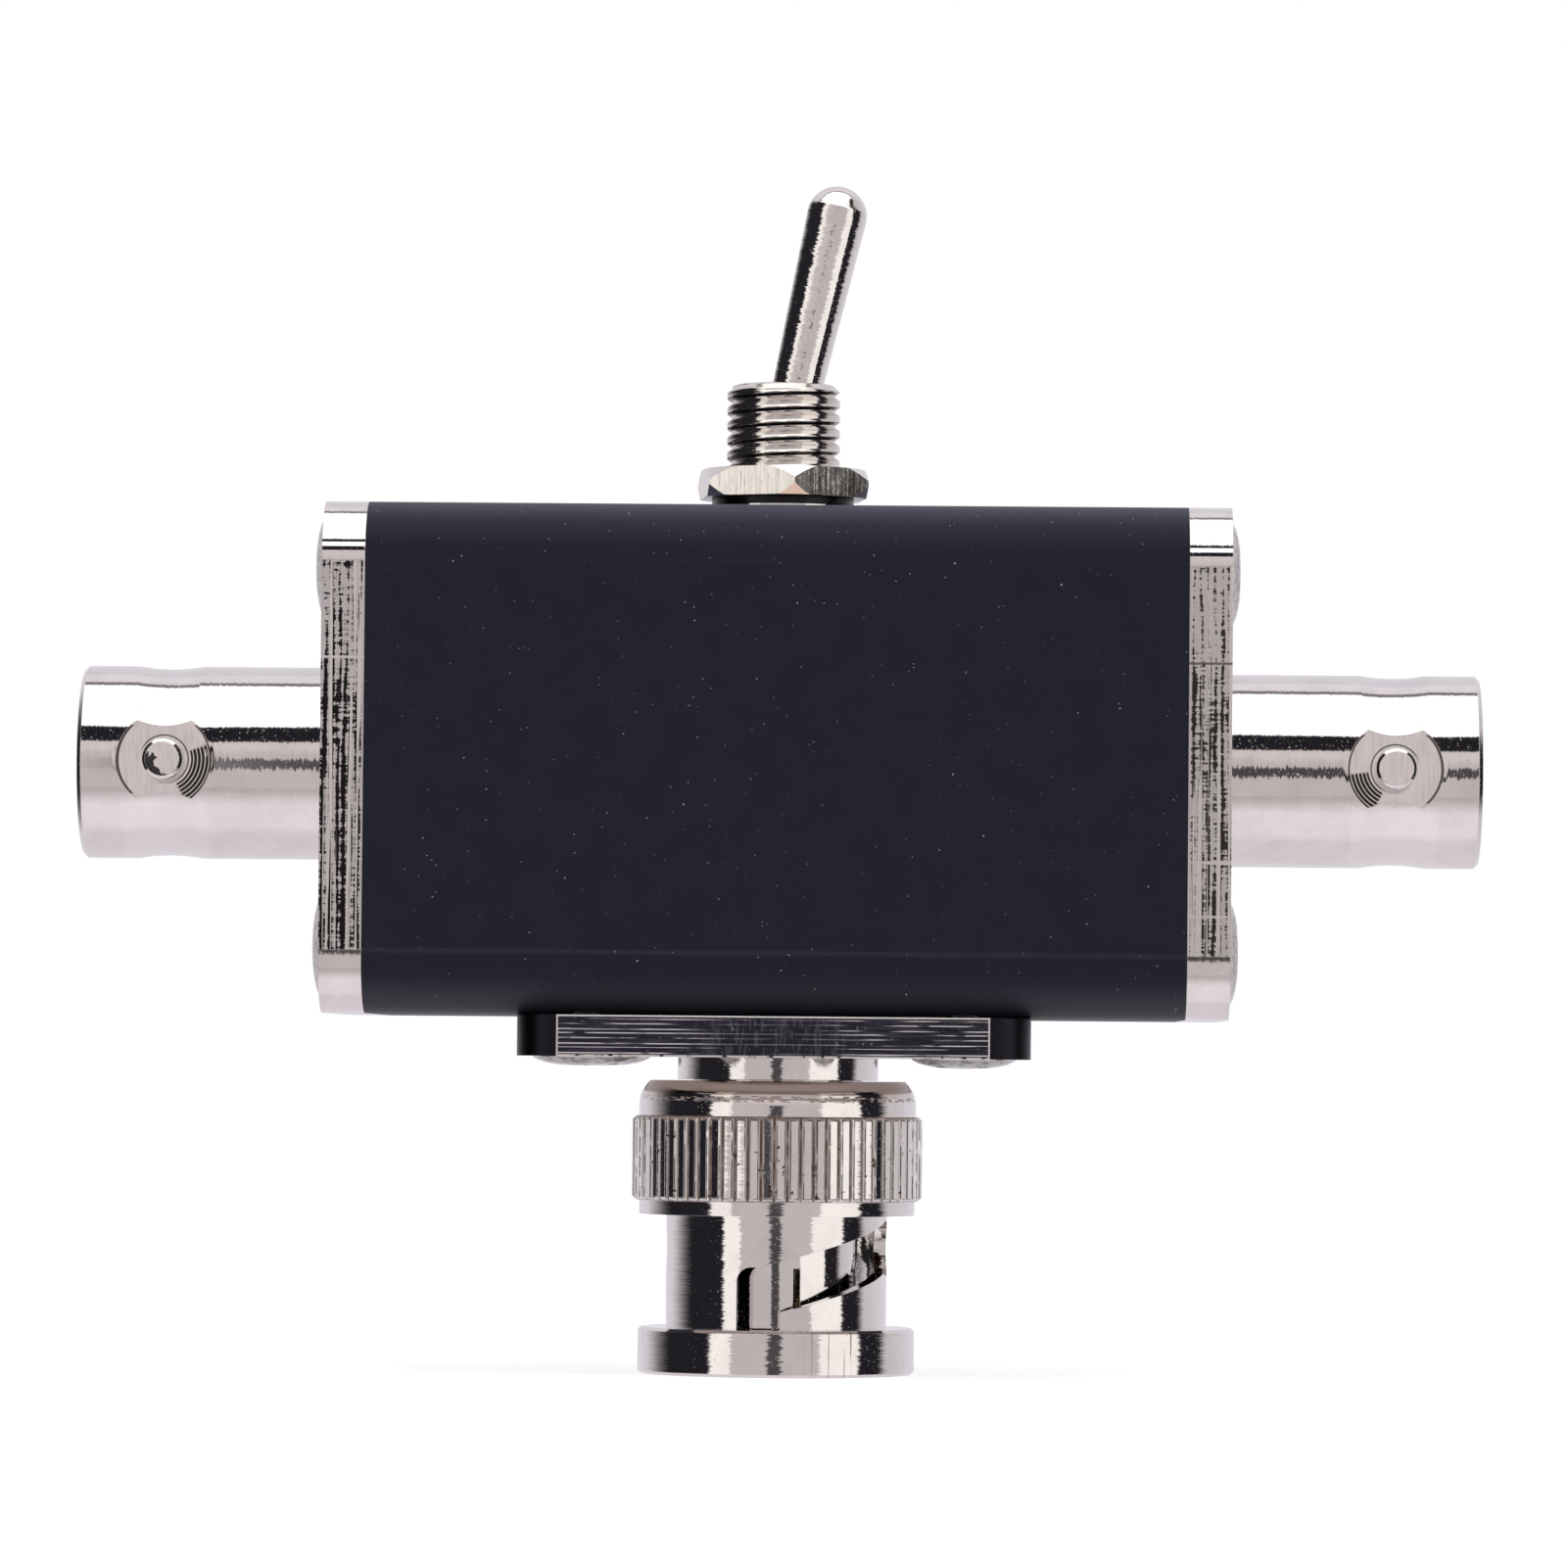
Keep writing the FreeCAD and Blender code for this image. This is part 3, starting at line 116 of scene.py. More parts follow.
# Shares of a thread's turn at which its root, its lower flank and its crest end
ROOT_END = 0.10
LOWER_END = 0.29
CREST_END = 0.47

# Hex nut of the toggle: half its width over flats and chamfer circles in mm, slopes, and turn in degrees
HEX_TURN = 8.5
HEX_FLAT = 4.0
HEX_TOP = 4.11
HEX_TOP_SLOPE = 1.2
HEX_BOTTOM = 4.26
HEX_BOTTOM_SLOPE = 1.58
HEX_STEPS = 20
HEX_COUNTERSINK = 0.25

# Raised countersunk screws, in mm, and the blade that cuts their cross recess, wider over the head
SCREW_HEAD = 2.55
SCREW_SHANK = 1.2
SCREW_DOME = 0.45
SCREW_SEGMENTS = 64
RECESS_REACH = 1.4
RECESS_DEPTH = 1.1
RECESS_WIDTH = 0.62
RECESS_TIP = 0.35
BLADE_FLARE = 1.2
BLADE_OVER = 0.3

# Coupling nut: number of flutes, then heights over the standing plane and radii of its parts, in mm
FLUTES = 68
KNURL_LOW = 8.6
KNURL_HIGH = 12.8
KNURL_RADIUS = 7.225
KNURL_ROOT = 6.95
SHOULDER_EDGE = 13.75
SHOULDER_ROUND = 14.15
RING_TOP = 2.2
RING_RADIUS = 6.75

# Jacks, in mm: flange, lug, groove and rim of the lug, its spot face and the milled flats beside it
FLANGE_THICK = 2.1
LUG_ALONG = 30.44
LUG_FACE = 5.3
LUG_GROOVE = 1.17
LUG_RIM = 0.84
SPOT_REACH = 2.28
SPOT_FACE = 4.9
SPOT_RING_PITCH = 0.19
FLAT_REACH = 2.15
FLAT_HEIGHT = 1.75

# Marks on the milled edges of the flanges, in mm: cutter marks, a scratch and the plug flange's lines
MARK_PITCH = 0.34
SCRATCH = 34.95
LINE_PITCH = 0.23
PLATE_THICK = 2.0
PLATE_ROUND = 2.0

# Uneven bands on a flange's upper corner: lowest and highest rise of the normal, and how far they lean
CORNER_BANDS = ((0.213, 0.284, 0.18), (0.150, 0.200, 0.06))

# Case, in mm: how far from its underside and its top the flat front meets the rounded corners
CREASE_OVER_LOW = 3.05
CREASE_UNDER_HIGH = 3.0

# Dust on the case: cells per mm, the share of them that stays clean, and a speck's size in its cell
DUST = ((0.85, 0.42, 0.055), (2.3, 0.76, 0.08), (4.6, 0.86, 0.14))

# Switch lever's lean to the right, in degrees, and the rise of its dome's first normals
LEVER_LEAN = 12.5
DOME_CORNER = 0.27

# How far worn edges catch the light, in mm
EDGE = 0.05
FINE_EDGE = 0.03
EDGE_SAMPLES = 4

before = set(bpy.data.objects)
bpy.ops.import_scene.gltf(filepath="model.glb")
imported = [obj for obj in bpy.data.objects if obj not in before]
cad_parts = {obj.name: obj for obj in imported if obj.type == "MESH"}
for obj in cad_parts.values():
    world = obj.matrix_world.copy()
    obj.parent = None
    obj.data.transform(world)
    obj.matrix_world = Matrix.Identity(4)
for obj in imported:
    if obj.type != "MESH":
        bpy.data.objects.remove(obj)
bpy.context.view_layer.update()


def box_in_mm(node):
    """The low and the high corner of a CAD node."""
    low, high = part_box(node)
    return low / MM, high / MM


# Places that follow from the frame, in mm
CASE_LOW, CASE_HIGH = box_in_mm("housing_tube")
BUSHING_LOW, BUSHING_HIGH = box_in_mm("toggle_bushing")
JACK_AXIS = (CASE_LOW.z + CASE_HIGH.z) / 2
FLANGE_OUT = CASE_HIGH.x + FLANGE_THICK
PLATE_TOP = CASE_LOW.z
PLATE_LOW = PLATE_TOP - PLATE_THICK
CREASE_LOW = CASE_LOW.z + CREASE_OVER_LOW
CREASE_HIGH = CASE_HIGH.z - CREASE_UNDER_HIGH


class Nodes:
    """Adds nodes to one tree. Values are numbers, vectors, colours or output sockets."""

    def __init__(self, owner):
        owner.use_nodes = True
        self.tree = owner.node_tree
        self.tree.nodes.clear()

    def put(self, socket, value):
        if isinstance(value, bpy.types.NodeSocket):
            self.tree.links.new(value, socket)
        elif socket.type == "RGBA" and len(value) == 3:
            socket.default_value = (*value, 1.0)
        else:
            socket.default_value = value

    def add(self, kind, settings=None, **inputs):
        made = self.tree.nodes.new(kind)
        for name, value in (settings or {}).items():
            setattr(made, name, value)
        for name, value in inputs.items():
            self.put(made.inputs[name.replace("_", " ")], value)
        return made

    def chosen(self, mask, first, second):
        """The first shader where a mask is 0 and the second where it is 1."""
        made = self.add("ShaderNodeMixShader")
        for socket, value in zip(made.inputs, (mask, first.outputs[0], second.outputs[0])):
            self.put(socket, value)
        return made

    def math(self, operation, *values):
        made = self.add("ShaderNodeMath", {"operation": operation})
        for socket, value in zip(made.inputs, values):
            self.put(socket, value)
        return made.outputs[0]

    def absolute(self, value):
        return self.math("ABSOLUTE", value)

    def centred(self, noise):
        """A noise of about 0 to 1, moved to swing round 0."""
        return self.math("SUBTRACT", noise, 0.5)

    def weighted(self, start, *terms):
        """A starting number plus each value times its weight."""
        for value, weight in terms:
            start = self.math("MULTIPLY_ADD", value, weight, start)
        return start

    def vector(self, operation, *values):
        made = self.add("ShaderNodeVectorMath", {"operation": operation})
        for socket, value in zip(made.inputs, values):
            self.put(socket, value)
        return made.outputs["Value" if operation in ("DOT_PRODUCT", "LENGTH") else "Vector"]

    def scaled(self, vector, factor):
        made = self.add("ShaderNodeVectorMath", {"operation": "SCALE"}, Scale=factor)
        self.put(made.inputs[0], vector)
        return made.outputs[0]

    def joined(self, x, y, z):
        return self.add("ShaderNodeCombineXYZ", X=x, Y=y, Z=z).outputs[0]

    def split(self, vector):
        return self.add("ShaderNodeSeparateXYZ", Vector=vector).outputs

    def ramp(self, value, low, high):
        """0 below low and 1 above high, smooth between. With low above high, 1 below high and 0 above low."""
        if low > high:
            return self.math("SUBTRACT", 1.0, self.ramp(value, high, low))
        made = self.add("ShaderNodeMapRange", {"interpolation_type": "SMOOTHSTEP"}, Value=value,
                        From_Min=low, From_Max=high)
        return made.outputs[0]

    def band(self, value, low, high, edge):
        """1 between low and high, with soft edges of a given width."""
        rise = self.ramp(value, low - edge / 2, low + edge / 2)
        fall = self.ramp(value, high + edge / 2, high - edge / 2)
        return self.math("MULTIPLY", rise, fall)

    def both(self, first, *others):
        """Where every mask is 1. A plain number among them weakens the result."""
        for other in others:
            first = self.math("MULTIPLY", first, other)
        return first

    def mix(self, factor, first, second):
        made = self.add("ShaderNodeMix", {"data_type": "RGBA"})
        self.put(made.inputs[0], factor)
        self.put(made.inputs[6], first)
        self.put(made.inputs[7], second)
        return made.outputs[2]

    def noise(self, vector, scale=1.0, detail=2.0, roughness=0.5):
        return self.add("ShaderNodeTexNoise", Vector=vector, Scale=scale, Detail=detail,
                        Roughness=roughness).outputs[0]

    def stretched(self, place, x, y, z, detail=2.0, roughness=0.5):
        """Noise that is finer or coarser along each axis."""
        return self.noise(self.vector("MULTIPLY", place, (x, y, z)), 1.0, detail, roughness)

    def place(self):
        """The place in the part's own frame, in mm."""
        own = self.add("ShaderNodeTexCoord").outputs["Object"]
        return self.scaled(own, 1 / MM)

    def normal(self):
        """The surface normal in the part's own frame."""
        return self.add("ShaderNodeTexCoord").outputs["Normal"]

    def bent_normal(self, bend, edge):
        """The normal with its edges rounded, turned by a small vector of the part's own frame."""
        soft = self.add("ShaderNodeBevel", {"samples": EDGE_SAMPLES}, Radius=edge * MM).outputs[0]
        turned = self.add("ShaderNodeVectorTransform",
                          {"vector_type": "VECTOR", "convert_from": "OBJECT", "convert_to": "WORLD"},
                          Vector=bend)
        length = self.vector("LENGTH", bend)
        turned = self.scaled(self.vector("NORMALIZE", turned.outputs[0]), length)
        return self.vector("NORMALIZE", self.vector("ADD", soft, turned))


def studio_table(n, rise, under):
    """The table, darker far away, up to its side behind the part."""
    table = n.mix(n.ramp(rise, TABLE_EDGE, -56.0), TABLE_FAR, TABLE_NEAR)
    return n.mix(n.ramp(under, 82.0, 98.0), table, TABLE_BEHIND)


def studio_panels(n, turn, rise):
    """Masks and colours of the dark gaps and bright panels at the sides and of the wall between them."""
    middle = n.mix(n.ramp(rise, 8.0, 15.0), MIDDLE_WALL, MIDDLE_WALL_TOP)
    return (
        (n.both(n.ramp(turn, -140.0, -97.0), n.ramp(turn, -55.0, -57.0)), INK),
        (n.both(n.ramp(turn, 73.0, 76.0), n.ramp(turn, 108.0, 95.0)), INK),
        (n.band(turn, -55.0, -37.0, 1.5), SIDE_GLARE),
        (n.band(turn, 38.0, 74.0, 1.5), SIDE_GLARE),
        (n.ramp(n.absolute(turn), 38.0, 36.0), middle),
    )


def studio_strips(n, over):
    """Masks and colours of the strips that cross the ceiling, from the front to the back."""
    strips = (
        (23.5, 42.5, INK),
        (42.5, 104.0, GLARE),
        (104.0, 110.5, CEILING_GAP),
        (110.5, 128.0, CEILING_BACK),
    )
    return [(n.band(over, start, stop, 1.0), shade) for start, stop, shade in strips]


def studio_colour(n):
    """A photo studio by the direction of the ray that sees it: table, walls, panels, ceiling and lens.

    turn is the angle to the right of the front and rise the one over the horizon. over runs from the front
    up and back, and under from the front down and back. All are in degrees.
    """
    x, y, z = n.split(n.add("ShaderNodeTexCoord").outputs["Generated"])
    front = n.math("MULTIPLY", y, -1.0)
    turn = n.math("DEGREES", n.math("ARCTAN2", x, front))
    rise = n.math("DEGREES", n.math("ARCSINE", z))
    over = n.math("DEGREES", n.math("ARCTAN2", z, front))
    under = n.math("DEGREES", n.math("ARCTAN2", n.math("MULTIPLY", z, -1.0), front))
    side = n.absolute(turn)
    over_table = n.ramp(rise, TABLE_EDGE, TABLE_EDGE + 3.0)
    wall = n.mix(n.ramp(side, 95.0, 150.0), WALL, WALL_BEHIND)
    colour = n.mix(over_table, studio_table(n, rise, under), wall)
    wall_top = n.ramp(rise, 58.0, 50.0)
    for mask, shade in studio_panels(n, turn, rise):
        colour = n.mix(n.both(mask, over_table, wall_top), colour, shade)
    ceiling = n.both(n.ramp(n.absolute(x), 0.62, 0.5), n.ramp(z, 0.0, 0.05))
    for mask, shade in studio_strips(n, over):
        colour = n.mix(n.both(mask, ceiling), colour, shade)
    lens = n.both(n.ramp(side, 6.5, 4.5), n.band(rise, -9.0, 2.5, 2.5), 0.9)
    return n.mix(lens, colour, INK)


def build_world():
    """White to the camera, even light for matt surfaces, and a photo studio for reflections."""
    world = bpy.data.worlds.new("studio")
    bpy.context.scene.world = world
    n = Nodes(world)
    path = n.add("ShaderNodeLightPath").outputs
    studio = n.add("ShaderNodeBackground", Color=studio_colour(n))
    even = n.add("ShaderNodeBackground", Color=(0.62, 0.62, 0.66))
    white = n.add("ShaderNodeBackground", Color=(1.0, 1.0, 1.0))
    lit = n.chosen(path["Is Glossy Ray"], even, studio)
    clear = n.math("MAXIMUM", path["Is Camera Ray"], path["Is Transmission Ray"])
    seen = n.chosen(clear, lit, white)
    n.add("ShaderNodeOutputWorld", Surface=seen.outputs[0])


def floor_white():
    """A pale finish that the light brings up to white for the camera."""
    material = bpy.data.materials.new("floor_white")
    n = Nodes(material)
    path = n.add("ShaderNodeLightPath").outputs
    glow = n.mix(path["Is Camera Ray"], (0.46, 0.42, 0.42), (0.72, 0.72, 0.72))
    lit = n.add("ShaderNodeEmission", Color=glow, Strength=1.0)
    matt = n.add("ShaderNodeBsdfDiffuse", Color=(0.6, 0.58, 0.58))
    both = n.add("ShaderNodeAddShader")
    n.put(both.inputs[0], lit.outputs[0])
    n.put(both.inputs[1], matt.outputs[0])
    n.add("ShaderNodeOutputMaterial", Surface=both.outputs[0])
    return material


def build_floor():
    """A plain floor that keeps the shadow. Metal sees the studio's table in its place."""
    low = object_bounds()[0].z
    bpy.ops.mesh.primitive_plane_add(size=1.0, location=(0, FLOOR_BACK, low))
    floor = bpy.context.object
    floor.name = "floor"
    floor.scale = (*FLOOR_SIZE, 1)
    floor.data.materials.append(floor_white())
    floor.visible_glossy = False


def build_light():
    """One softbox in front of the part and above it."""
    lamp = bpy.data.lights.new("softbox", "AREA")
    lamp.energy = LAMP_POWER
    lamp.size = LAMP_SIZE
    holder = bpy.data.objects.new("softbox", lamp)
    holder.location = LAMP_PLACE
    away = Vector(LAMP_PLACE) - Vector(LAMP_TARGET)
    holder.rotation_euler = away.to_track_quat("Z", "Y").to_euler()
    holder.visible_glossy = False
    bpy.context.scene.collection.objects.link(holder)


def build_camera():
    """The camera that took the photo, standing level and then turned by small angles."""
    view = bpy.data.cameras.new("photo_camera")
    view.lens = CAMERA_LENS
    view.sensor_width = SENSOR_WIDTH
    view.clip_start = NEAR_CLIP * MM
    camera = bpy.data.objects.new("photo_camera", view)
    turn = (Matrix.Rotation(math.radians(CAMERA_ROLL), 3, "Y")
            @ Matrix.Rotation(math.radians(CAMERA_PITCH), 3, "X")
            @ Matrix.Rotation(math.radians(CAMERA_YAW), 3, "Z"))
    upright = Matrix.Rotation(math.radians(90), 3, "X")
    camera.matrix_world = (Matrix.Translation(Vector(CAMERA_PLACE) * MM)
                           @ (turn.transposed() @ upright).to_4x4())
    bpy.context.scene.collection.objects.link(camera)
    bpy.context.scene.camera = camera


def give(material, *names):
    """Gives CAD nodes or pieces one material in place of their own."""
    for name in names:
        mesh = bpy.data.objects[name].data
        mesh.materials.clear()
        mesh.materials.append(material)


def dust(n, place, rise):
    """Specks of three sizes, more of them where the surface faces up."""
    crooked = n.add("ShaderNodeTexNoise", Vector=place, Scale=7.0, Detail=1.0).outputs["Color"]
    spread = n.vector("ADD", place, n.scaled(crooked, 0.16))
    more = n.ramp(rise, 0.1, 0.6)
    specks = 0.0
    for scale, clean, size in DUST:
        cells = n.add("ShaderNodeTexVoronoi", {"feature": "F1"}, Vector=spread, Scale=scale)
        chance, bright, width = n.split(cells.outputs["Color"])
        dusty = n.math("GREATER_THAN", n.math("MULTIPLY_ADD", more, 0.25, chance), clean)
        widest = n.math("MULTIPLY_ADD", width, 0.7 * size, 0.3 * size)
        reach = n.math("DIVIDE", cells.outputs["Distance"], widest)
        speck = n.both(n.ramp(reach, 1.0, 0.5), dusty, n.ramp(bright, -0.2, 1.0))
        specks = n.math("MAXIMUM", specks, speck)
    return specks


def anodised():
    """Matt black anodised aluminium with a painted sheen on faces turned up, painted bounce light on faces
    turned down, a painted highlight line at the low crease, a painted shade line at the high crease, and pale
    dust.
    """
    material = bpy.data.materials.new("black_anodised")
    n = Nodes(material)
    place = n.place()
    height = n.split(place)[2]
    rise = n.split(n.normal())[2]
    base = n.mix(n.noise(place, 0.5, 4.0), (0.0084, 0.0087, 0.0186), (0.0114, 0.0117, 0.0230))
    low_crease_highlight = n.both(n.band(height, CREASE_LOW - 0.12, CREASE_LOW + 0.12, 0.1), 0.5)
    high_crease_shade = n.both(n.band(height, CREASE_HIGH - 0.10, CREASE_HIGH + 0.10, 0.1), 0.4)
    # Painted light: sheen on faces turned up, bounce light on faces turned down, a highlight line at the low
    # crease and a shade line at the high crease; the pale dust is the case's own
    tones = (
        (n.ramp(rise, 0.60, 0.92), (0.034, 0.034, 0.052)),
        (n.ramp(rise, -0.35, -0.80), (0.026, 0.025, 0.036)),
        (low_crease_highlight, (0.026, 0.026, 0.040)),
        (high_crease_shade, INK),
        (dust(n, place, rise), (0.58, 0.58, 0.61)),
    )
    for mask, tone in tones:
        base = n.mix(mask, base, tone)
    bump = n.add("ShaderNodeBump", Strength=0.12, Distance=0.02 * MM, Height=n.noise(place, 22.0, 2.0))
    shell = n.add("ShaderNodeBsdfPrincipled", Base_Color=base, Roughness=0.5, Specular_IOR_Level=0.16,
                  Normal=bump.outputs[0])
    n.add("ShaderNodeOutputMaterial", Surface=shell.outputs[0])
    return material


def tool_bend(n, place, normal, axis, waver, lines, pits):
    """How far tool lines round an axis, small dents and pits turn the normal."""
    along = n.math("MULTIPLY", n.vector("DOT_PRODUCT", place, axis), lines)
    ragged = n.vector("ADD", n.scaled(place, 0.5), n.scaled(axis, along))
    jitter = n.centred(n.noise(ragged, 1.0, 3.0, 0.7))
    slip = n.scaled(n.vector("CROSS_PRODUCT", axis, normal), n.math("MULTIPLY", jitter, waver * 4))
    dents = n.centred(n.noise(place, 14.0, 2.0))
    tilt = n.scaled(axis, n.math("MULTIPLY", dents, waver * 0.5))
    speck = n.ramp(n.noise(place, 11.0, 1.0), 0.69, 0.73)
    wild = n.add("ShaderNodeTexNoise", Vector=place, Scale=30.0, Detail=0.0).outputs["Color"]
    scatter = n.scaled(n.vector("SUBTRACT", wild, (0.5, 0.5, 0.5)), n.math("MULTIPLY", speck, pits * 4))
    return n.vector("ADD", n.vector("ADD", slip, tilt), scatter)


def nickel(name, axis, colour=NICKEL, roughness=0.06, waver=0.04, lines=8.0, pits=0.25, edge=EDGE,
           extra=None):
    """Nickel plate on a surface turned round an axis, whose tool lines make the highlights ragged.

    waver is how strong the tool lines are, lines how fine, and extra adds the marks of one kind of piece.
    """
    material = bpy.data.materials.new(name)
    n = Nodes(material)
    place = n.place()
    normal = n.normal()
    stains = n.ramp(n.noise(place, 0.7, 4.0, 0.6), 0.30, 0.62)
    finish = {
        "colour": n.mix(stains, tuple(0.93 * channel for channel in colour), colour),
        "roughness": roughness,
        "bend": tool_bend(n, place, normal, axis, waver, lines, pits),
    }
    if extra:
        extra(n, place, normal, finish)
    shell = n.add("ShaderNodeBsdfPrincipled", Base_Color=finish["colour"], Metallic=1.0,
                  Roughness=finish["roughness"], Normal=n.bent_normal(finish["bend"], edge))
    n.add("ShaderNodeOutputMaterial", Surface=shell.outputs[0])
    return material


def grained(name, colour, roughness):
    """Steel with a fine grain."""
    material = bpy.data.materials.new(name)
    n = Nodes(material)
    grain = n.stretched(n.place(), 4.0, 4.0, 4.0, 3.0, 0.7)
    tone = n.mix(n.ramp(grain, 0.35, 0.65), tuple(0.7 * channel for channel in colour), colour)
    slip = n.math("MULTIPLY", n.centred(grain), 0.24)
    shell = n.add("ShaderNodeBsdfPrincipled", Base_Color=tone, Metallic=1.0, Roughness=roughness,
                  Normal=n.bent_normal(n.joined(slip, slip, 0.0), EDGE))
    n.add("ShaderNodeOutputMaterial", Surface=shell.outputs[0])
    return material


def plain(name, colour, roughness, **inputs):
    """A plain finish with a faint cloudiness."""
    material = bpy.data.materials.new(name)
    n = Nodes(material)
    clouds = n.noise(n.place(), 1.5, 3.0)
    darker = tuple(channel * 0.85 for channel in colour)
    shell = n.add("ShaderNodeBsdfPrincipled", Base_Color=n.mix(clouds, darker, colour), Roughness=roughness,
                  **inputs)
    n.add("ShaderNodeOutputMaterial", Surface=shell.outputs[0])
    return material


def lean(n, finish, amount, direction):
    """Bends the normal of a finish by an amount along a direction."""
    finish["bend"] = n.vector("ADD", finish["bend"], n.scaled(direction, amount))


def paint_over(n, finish, mask, colour):
    """Puts a colour over the finish where a mask is 1."""
    finish["colour"] = n.mix(mask, finish["colour"], colour)


def jack_marks(n, place, normal, finish):
    """Jacks: their flanges' edges and corners, the barrels, and the lugs on their spot faces."""
    flange_marks(n, place, normal, finish)
    barrel_marks(n, place, normal, finish)
    flat = spot_marks(n, place, normal, finish)
    lug_marks(n, place, finish, flat)


def flange_marks(n, place, normal, finish):
    """Milled front and back edges, and upper corners that reflect unevenly."""
    x, y, z = n.split(place)
    _, ny, nz = n.split(normal)
    out = n.absolute(x)
    flange = n.ramp(out, FLANGE_OUT + 0.05, FLANGE_OUT + 0.02)
    level = n.ramp(n.absolute(ny), 0.985, 0.999)
    face = n.ramp(n.absolute(y), CASE_HIGH.y - 0.2, CASE_HIGH.y - 0.05)
    between = n.both(n.ramp(z, CREASE_HIGH, CREASE_HIGH - 0.1),
                     n.ramp(z, CREASE_LOW - 0.05, CREASE_LOW + 0.05))
    mill_marks(n, place, finish, n.both(flange, level, face, between))
    upper = n.ramp(z, CREASE_HIGH - 1.7, CREASE_HIGH - 0.7)
    corner = n.both(flange, upper, n.ramp(out, CASE_HIGH.x - 0.1, CASE_HIGH.x))
    for low, high, amount in CORNER_BANDS:
        lean(n, finish, n.both(corner, n.band(nz, low, high, 0.008), amount), UP)


def mill_marks(n, place, finish, edge):
    """Fine upright cutter marks with short ticks across them, denser on the left flange and low down."""
    x, _, z = n.split(place)
    left = n.ramp(x, 1.0, -1.0)
    columns = n.stretched(place, 6.0, 1.0, 0.22, 3.0, 0.6)
    strokes = n.stretched(place, 4.5, 1.0, 1.3, 3.0, 0.7)
    ticks = n.stretched(place, 2.2, 1.0, 8.5, 2.0, 0.6)
    wander = n.math("MULTIPLY", n.stretched(place, 0.8, 1.0, 0.12), 9.0)
    wave = n.math("SINE", n.math("MULTIPLY_ADD", x, FULL_TURN / MARK_PITCH, wander))
    low_down = n.ramp(z, 37.0, 32.0)
    start = n.band(z, CREASE_HIGH - 0.35, CREASE_HIGH - 0.1, 0.05)
    depth = n.weighted(-0.063, (columns, 0.40), (strokes, 0.24), (ticks, 0.36), (wave, 0.055), (left, 0.038),
                       (low_down, 0.060), (start, 0.05))
    inner = n.ramp(n.absolute(x), CASE_HIGH.x + 0.06, CASE_HIGH.x + 0.12)
    tone = n.mix(left, (0.055, 0.048, 0.045), (0.022, 0.020, 0.022))
    paint_over(n, finish, n.both(edge, inner, n.ramp(depth, 0.490, 0.512)), tone)
    along = n.ramp(n.stretched(place, 6.5, 1.0, 0.05, 2.0), 0.56, 0.60)
    across = n.ramp(n.stretched(place, 0.05, 0.0, 2.0, 2.0), 0.655, 0.67)
    scratch = n.band(z, SCRATCH - 0.06, SCRATCH + 0.06, 0.04)
    pale = n.math("MAXIMUM", n.math("MAXIMUM", along, across), n.both(scratch, left))
    paint_over(n, finish, n.both(edge, pale), (0.95, 0.92, 0.90))
    paint_over(n, finish, n.both(edge, scratch, n.ramp(x, -1.0, 1.0), 0.8), DIRT)
    finish["roughness"] = n.weighted(0.06, (edge, 0.22))


def barrel_marks(n, place, normal, finish):
    """A ragged line along the barrel's middle, and faintly paler milled flats under the lug."""
    x, _, z = n.split(place)
    _, ny, nz = n.split(normal)
    barrel = n.ramp(n.absolute(x), FLANGE_OUT + 0.2, FLANGE_OUT + 0.3)
    streak = n.centred(n.noise(n.joined(n.math("MULTIPLY", x, 7.0), 0.0, n.math("MULTIPLY", z, 0.6))))
    belt = n.both(barrel, n.ramp(n.absolute(nz), 0.20, 0.10), n.ramp(ny, 0.0, -0.5))
    lean(n, finish, n.both(belt, streak, 0.16), UP)
    aside, height, _ = from_lug(n, place)
    under_lug = n.both(n.band(aside, -FLAT_REACH, FLAT_REACH, 0.3),
                       n.ramp(height, -FLAT_HEIGHT, -FLAT_HEIGHT - 0.2))
    paint_over(n, finish, n.both(barrel, under_lug, n.ramp(ny, 0.2, -0.2), 0.3), (0.92, 0.89, 0.90))


def from_lug(n, place):
    """Where a point lies from the nearer lug's axis: out along the jack, up, and straight away."""
    x, _, z = n.split(place)
    aside = n.math("SUBTRACT", n.absolute(x), LUG_ALONG)
    height = n.math("SUBTRACT", z, JACK_AXIS)
    return aside, height, n.vector("LENGTH", n.joined(aside, height, 0.0))


